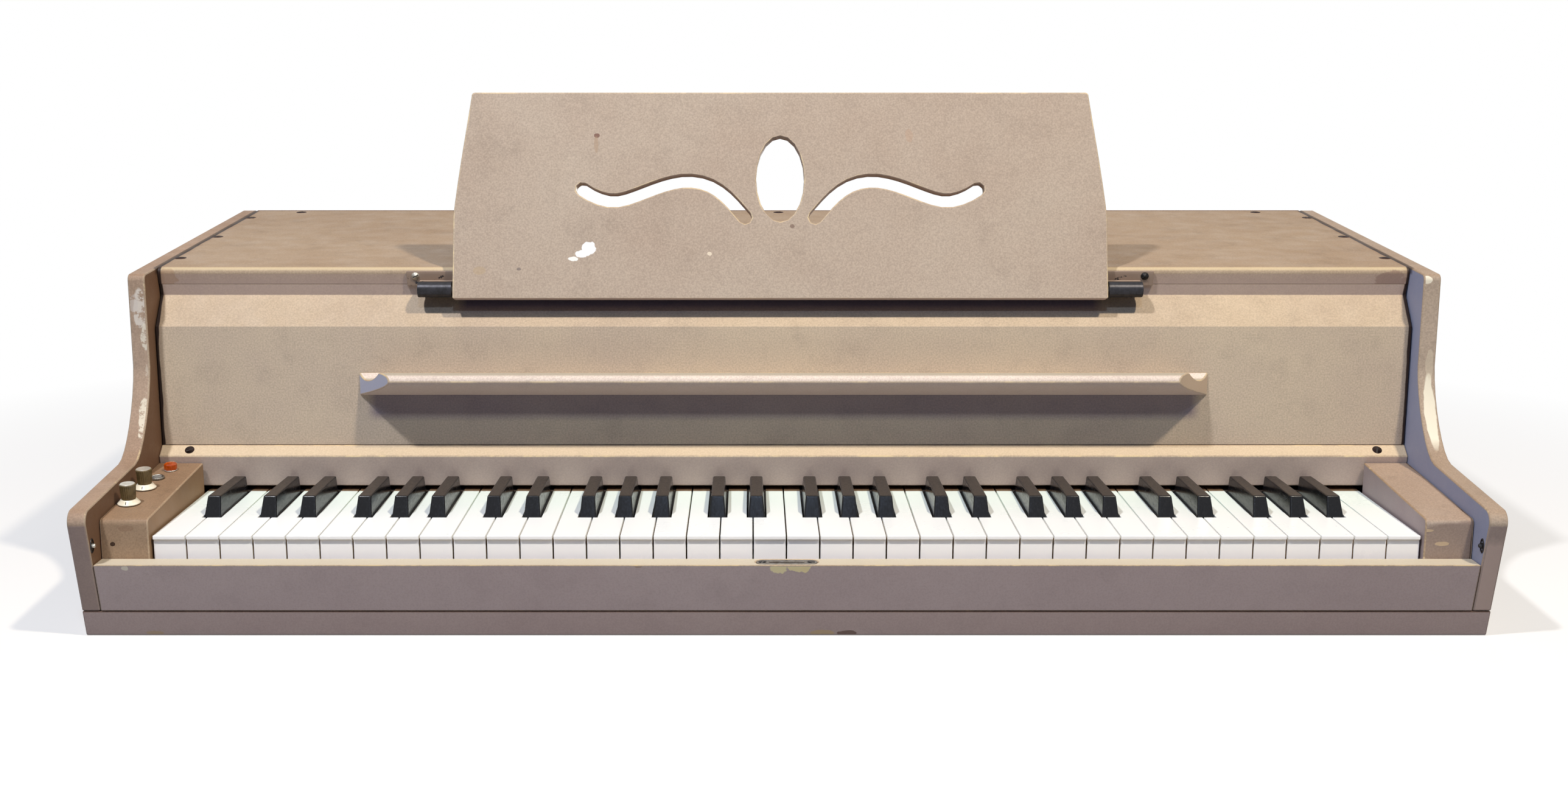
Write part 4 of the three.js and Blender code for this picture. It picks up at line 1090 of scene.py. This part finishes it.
SLIP_PATCHES = [
    ((-5.5, 54), (6.2, 5.2), 0.9, 240, (255, 238, 186), 1.0),
    ((8.5, 54.6), (7.5, 4.4), 1.1, 240, (255, 236, 182), 1.0),
    ((12.5, 52.5), (3.0, 3.0), 0.9, 240, (255, 234, 178), 1.0),
    ((3, 55.6), (34, 1.5), 0.9, 110, (250, 234, 196), 0.9),
    ((-459.7, 53), (2.6, 1.8), 0.8, 200, (250, 238, 214), 0.9),
    ((-103, 54.5), (2.6, 1.4), 0.8, 200, (170, 140, 116), 0.6),
]
CHEEK_PATCHES = [
    ((-473, 65.6), (1.9, 1.5), 0.6, 200, (52, 34, 24), 0.95),
    ((-463, 77), (6, 2.2), 1.0, 150, (140, 112, 90), 0.5),
    ((473, 66), (34, 16), 0.5, 40, (120, 100, 92), 0.55),
    ((460, 66), (5, 1.6), 1.0, 150, (214, 188, 150), 0.6),
    ((449, 75.5), (5, 1.0), 1.0, 150, (214, 188, 150), 0.6),
]
TOP_PATCHES = [
    ((468, 233), (12, 6), 1.6, 160, (122, 94, 84), 0.5),
    ((-475, 234), (8, 9), 1.5, 160, (150, 116, 84), 0.4),
]
LEFT_EDGE_PATCHES = [
    ((-487, 214), (5.0, 15), 1.0, 70, (226, 218, 206), 0.75),
    ((-484, 192), (3.4, 11), 1.2, 80, (228, 220, 202), 0.8),
    ((-491, 218), (3.0, 8), 1.0, 90, (206, 196, 186), 0.6),
    ((-484.5, 134), (3.6, 13), 1.3, 80, (226, 216, 194), 0.8),
    ((-484, 160), (1.2, 12), 1.0, 90, (218, 206, 186), 0.5),
]
RIGHT_EDGE_PATCHES = [
    ((484, 236), (4.5, 3.0), 0.8, 80, (236, 228, 206), 0.9),
    ((489, 138), (4.5, 26), 0.9, 60, (234, 226, 204), 0.9),
    ((490, 172), (3, 12), 0.9, 60, (214, 200, 176), 0.5),
    ((488, 30), (30, 46), 0.4, 60, (216, 190, 176), 0.8),
]
BASE_PATCHES = [
    ((26, 2), (9, 2.6), 1.0, 120, (206, 178, 138), 0.9),
    ((43, 1.6), (7, 2.2), 1.0, 120, (96, 70, 58), 0.8),
    ((-446, 1.6), (6, 2), 1.0, 120, (196, 168, 130), 0.7),
]
# Bands of painted shade: under the music ledge, and behind the desk's lower edge on the panel and the top
# board
LEDGE_SHADE_BAND = {"middle": 0, "half": 322, "foot": 124, "head": 146, "strength": 0.6}
DESK_SHADE_BAND = {"middle": HINGE_X, "half": 249, "foot": 206, "head": 236, "strength": 0.72}

# Painted boards: the finish of each one's faces and of its rounded edges

edge = paint("edge", (206, 188, 162), (188, 168, 144), edge_wear=(0.5, 0.62))
base_edge = paint("base_edge", (132, 108, 94), (104, 82, 72))
cheek_edge = paint("cheek_edge", (184, 161, 135), (168, 144, 118), edge_wear=(0.6, 0.7))
side_edge = paint("side_edge", (182, 163, 142), (164, 143, 122), edge_wear=(0.6, 0.7), joint=True)
panel_paint = paint("panel", (200, 182, 158), (187, 169, 151),
                    slant_highlight=0.08, end=PANEL_END, shade_bands=(LEDGE_SHADE_BAND, DESK_SHADE_BAND))
# The ledge's top gets painted shade, and its ends painted light: cool on the left end, warm on the right
ledge_paint = paint("ledge", (221, 203, 188), (207, 189, 176),
                    top_wear_and_shade=(154, 145, 126), leftward_lighting=(168, 172, 192), rightward_lighting=(196, 172, 146))
desk_paint = paint("desk", (183, 167, 150), (174, 155, 138), DESK_PATCHES)
top_paint = paint("top", (176, 157, 134), (164, 143, 119), TOP_PATCHES,
                  dirt=0.5, slant_highlight=0.5, end=TOP_END, shade_bands=(DESK_SHADE_BAND,))
# The slip's top gets its own tone: worn cream and painted shade
slip_paint = paint("slip", (243, 223, 216), (229, 207, 202), SLIP_PATCHES, top_wear_and_shade=(182, 172, 144))
base_paint = paint("base", (224, 201, 190), (209, 183, 175), BASE_PATCHES)
strip_paint = paint("strip", (213, 196, 176), (200, 181, 164), slant_highlight=0.35)
# The inner faces of the cheek blocks and side panels get painted light and shade: brown on the left, grey
# and blue on the right
left_cheek_paint = paint("left_cheek", (160, 135, 110), (142, 117, 93), CHEEK_PATCHES,
                         dirt=0.6, rightward_lighting=(143, 114, 85), end=CHEEK_END)
right_cheek_paint = paint("right_cheek", (192, 174, 158), (176, 157, 141), CHEEK_PATCHES,
                          dirt=0.6, leftward_lighting=(146, 133, 136), end=CHEEK_END)
left_paint = paint("left_side", (177, 154, 134), (156, 131, 110), LEFT_EDGE_PATCHES,
                   dirt=0.5, rightward_lighting=(98, 66, 42), flaked=150, joint=True)
right_paint = paint("right_side", (184, 166, 148), (168, 150, 132), RIGHT_EDGE_PATCHES,
                    dirt=0.4, leftward_lighting=(137, 147, 178), joint=True)

BOARD_ROUNDING = 0.9
CHEEK_ROUNDING = 1.0
SIDE_ROUNDING = 1.2
PANEL_ROUNDING = 0.12

for name, materials, width in (
    ("base_board", (base_paint, base_edge), BOARD_ROUNDING),
    ("music_ledge", (ledge_paint, edge), BOARD_ROUNDING),
    ("fall_strip", (strip_paint, edge), BOARD_ROUNDING),
    ("key_slip", (slip_paint, edge), BOARD_ROUNDING),
    ("music_desk", (desk_paint, edge), BOARD_ROUNDING),
    ("left_cheek_block", (left_cheek_paint, cheek_edge), CHEEK_ROUNDING),
    ("right_cheek_block", (right_cheek_paint, cheek_edge), CHEEK_ROUNDING),
    ("left_side_panel", (left_paint, side_edge), SIDE_ROUNDING),
    ("right_side_panel", (right_paint, side_edge), SIDE_ROUNDING),
    ("top_board", (top_paint,), 0),
    ("front_panel", (panel_paint,), PANEL_ROUNDING),
):
    dress(name, *materials, width=width)

# Keys: the weld closes the stick that just reaches through a black cap's sloping front

WHITE_ROUNDING = {"width": 0.4}
BLACK_ROUNDING = {"width": 1.1, "segments": 3, "weld_reach": 0.45}

white = white_keys("white_keys")
black = black_keys("black_keys")
for name in nodes:
    if name.startswith("key_") and name not in ("key_slip", "key_frame"):
        if "sharp" in name:
            dress(name, black, **BLACK_ROUNDING)
        else:
            dress(name, white, **WHITE_ROUNDING)
dress("key_frame", white, **WHITE_ROUNDING)
dress("back_rail", black, **BLACK_ROUNDING)

# Inner works, back and metal parts

steel = metal("plain_steel", (176, 174, 168), (120, 114, 104))
dark = metal("dark_steel", (60, 60, 62), (34, 30, 28), roughness=0.42)
rust = metal("rusted_screw", (64, 34, 26), (34, 16, 12), roughness=0.62, metallic=0.1)
silver = metal("turned_silver", (206, 202, 192), (170, 160, 142), roughness=0.3, metallic=0.6)
bracket = hinge_steel("hinge_steel", (46, 45, 50), (26, 24, 26), (140, 120, 104))
# Near black for slot floors, bores, sockets and the lock's well: painted shade in hollows
hollow_shade = plastic("painted_hollow_shade", (14, 12, 12), (24, 20, 18), 0.7)
dress("back_panel", hardboard("hardboard"), width=0.5)
dress("lock_plate", metal("lock_metal", (150, 144, 134), (96, 84, 74), roughness=0.36), width=0.2)
for side in SIDES:
    dress("desk_bracket_" + side, bracket, width=0.3)
dress("hammer_action", raw_wood("action_wood", "x"), width=0)
dress("reed_bar", steel, width=0)
dress("loudspeaker", dark, width=0)
dress("amplifier", steel, width=0)

# Controls on the left cheek block

ivory = plastic("ivory", (236, 228, 206), (222, 210, 184), 0.28)
brown = plastic("brown_plastic", (108, 90, 56), (74, 60, 34), 0.3)
ink = plastic("pointer_ink", (60, 46, 34), (44, 34, 26), 0.5)
knob("volume_knob", "volume_turn", (ivory, brown, silver, ink))
knob("tremolo_knob", "tremolo_turn", (ivory, brown, silver, ink))
fuse((steel, plastic("fuse_centre", (120, 118, 114), (84, 80, 76), 0.4)))
pilot((jewel("jewel"), silver))

# Screws in the boards, in millimetres; the lines that find their places start LINE_START away

LINE_START = 400
TOP_SCREW_HALF = 476
TOP_SCREW_DEPTHS = (-15, 88.5, 193.5)
TOP_BACK_SCREWS = (-438, 0, 438)
TOP_BACK_SCREW_DEPTH = 226
TOP_SCREW_RADIUS = 4.7
STRIP_SCREW_HALF = 459
STRIP_SCREW_DEPTH = -74.5
STRIP_SCREW_RADIUS = 3.7
BACK_SCREWS = (-455, -228, 0, 228, 455)
BACK_SCREW_HEIGHTS = (34, 226)
BACK_SIDE_SCREW_HALF = 468
BACK_SIDE_SCREW_HEIGHT = 130
BACK_SCREW_RADIUS = 3.4
BACK_SCREW_LIFT = -0.15
BACK_SLOT_FLOOR = 0.17
BRACKET_SCREW_HALF = 280
BRACKET_SCREW_HEIGHT = 235.5
BRACKET_SCREW_RADIUS = 3.0
BRACKET_SCREW_LIFT = 0.5

downward = (0, 0, -1)
top_starts = [(sign * TOP_SCREW_HALF, y, LINE_START) for sign in (-1, 1) for y in TOP_SCREW_DEPTHS]
top_starts += [(x, TOP_BACK_SCREW_DEPTH, LINE_START) for x in TOP_BACK_SCREWS]
screws("top_board_screws", "top_board", top_starts, downward, TOP_SCREW_RADIUS, (rust, hollow_shade))

strip_starts = [(sign * STRIP_SCREW_HALF, STRIP_SCREW_DEPTH, LINE_START) for sign in (-1, 1)]
screws("fall_strip_screws", "fall_strip", strip_starts, downward, STRIP_SCREW_RADIUS, (rust, hollow_shade))

back_starts = [(x, LINE_START, z) for x in BACK_SCREWS for z in BACK_SCREW_HEIGHTS]
back_starts += [(sign * BACK_SIDE_SCREW_HALF, LINE_START, BACK_SIDE_SCREW_HEIGHT) for sign in (-1, 1)]
screws("back_panel_screws", "back_panel", back_starts, (0, -1, 0), BACK_SCREW_RADIUS, (steel, hollow_shade),
       BACK_SCREW_LIFT, BACK_SLOT_FLOOR)

# The right side's pin and bracket screw take dark steel, painted shade that makes them read as holes
heads = {"left": silver, "right": dark}
for side, head in heads.items():
    start = (HINGE_X + SIDES[side] * BRACKET_SCREW_HALF, -LINE_START, BRACKET_SCREW_HEIGHT)
    screws("desk_bracket_screw_" + side, "desk_bracket_" + side, [start], (0, 1, 0), BRACKET_SCREW_RADIUS,
           (head, hollow_shade), BRACKET_SCREW_LIFT)

# Pins, leg plates and lock

for side, head in heads.items():
    arm_pin(side, (head, dark, hollow_shade))
    for row in LEG_ROWS:
        leg_plate(row, side, (steel, hollow_shade))
lock_details((dark, hollow_shade))
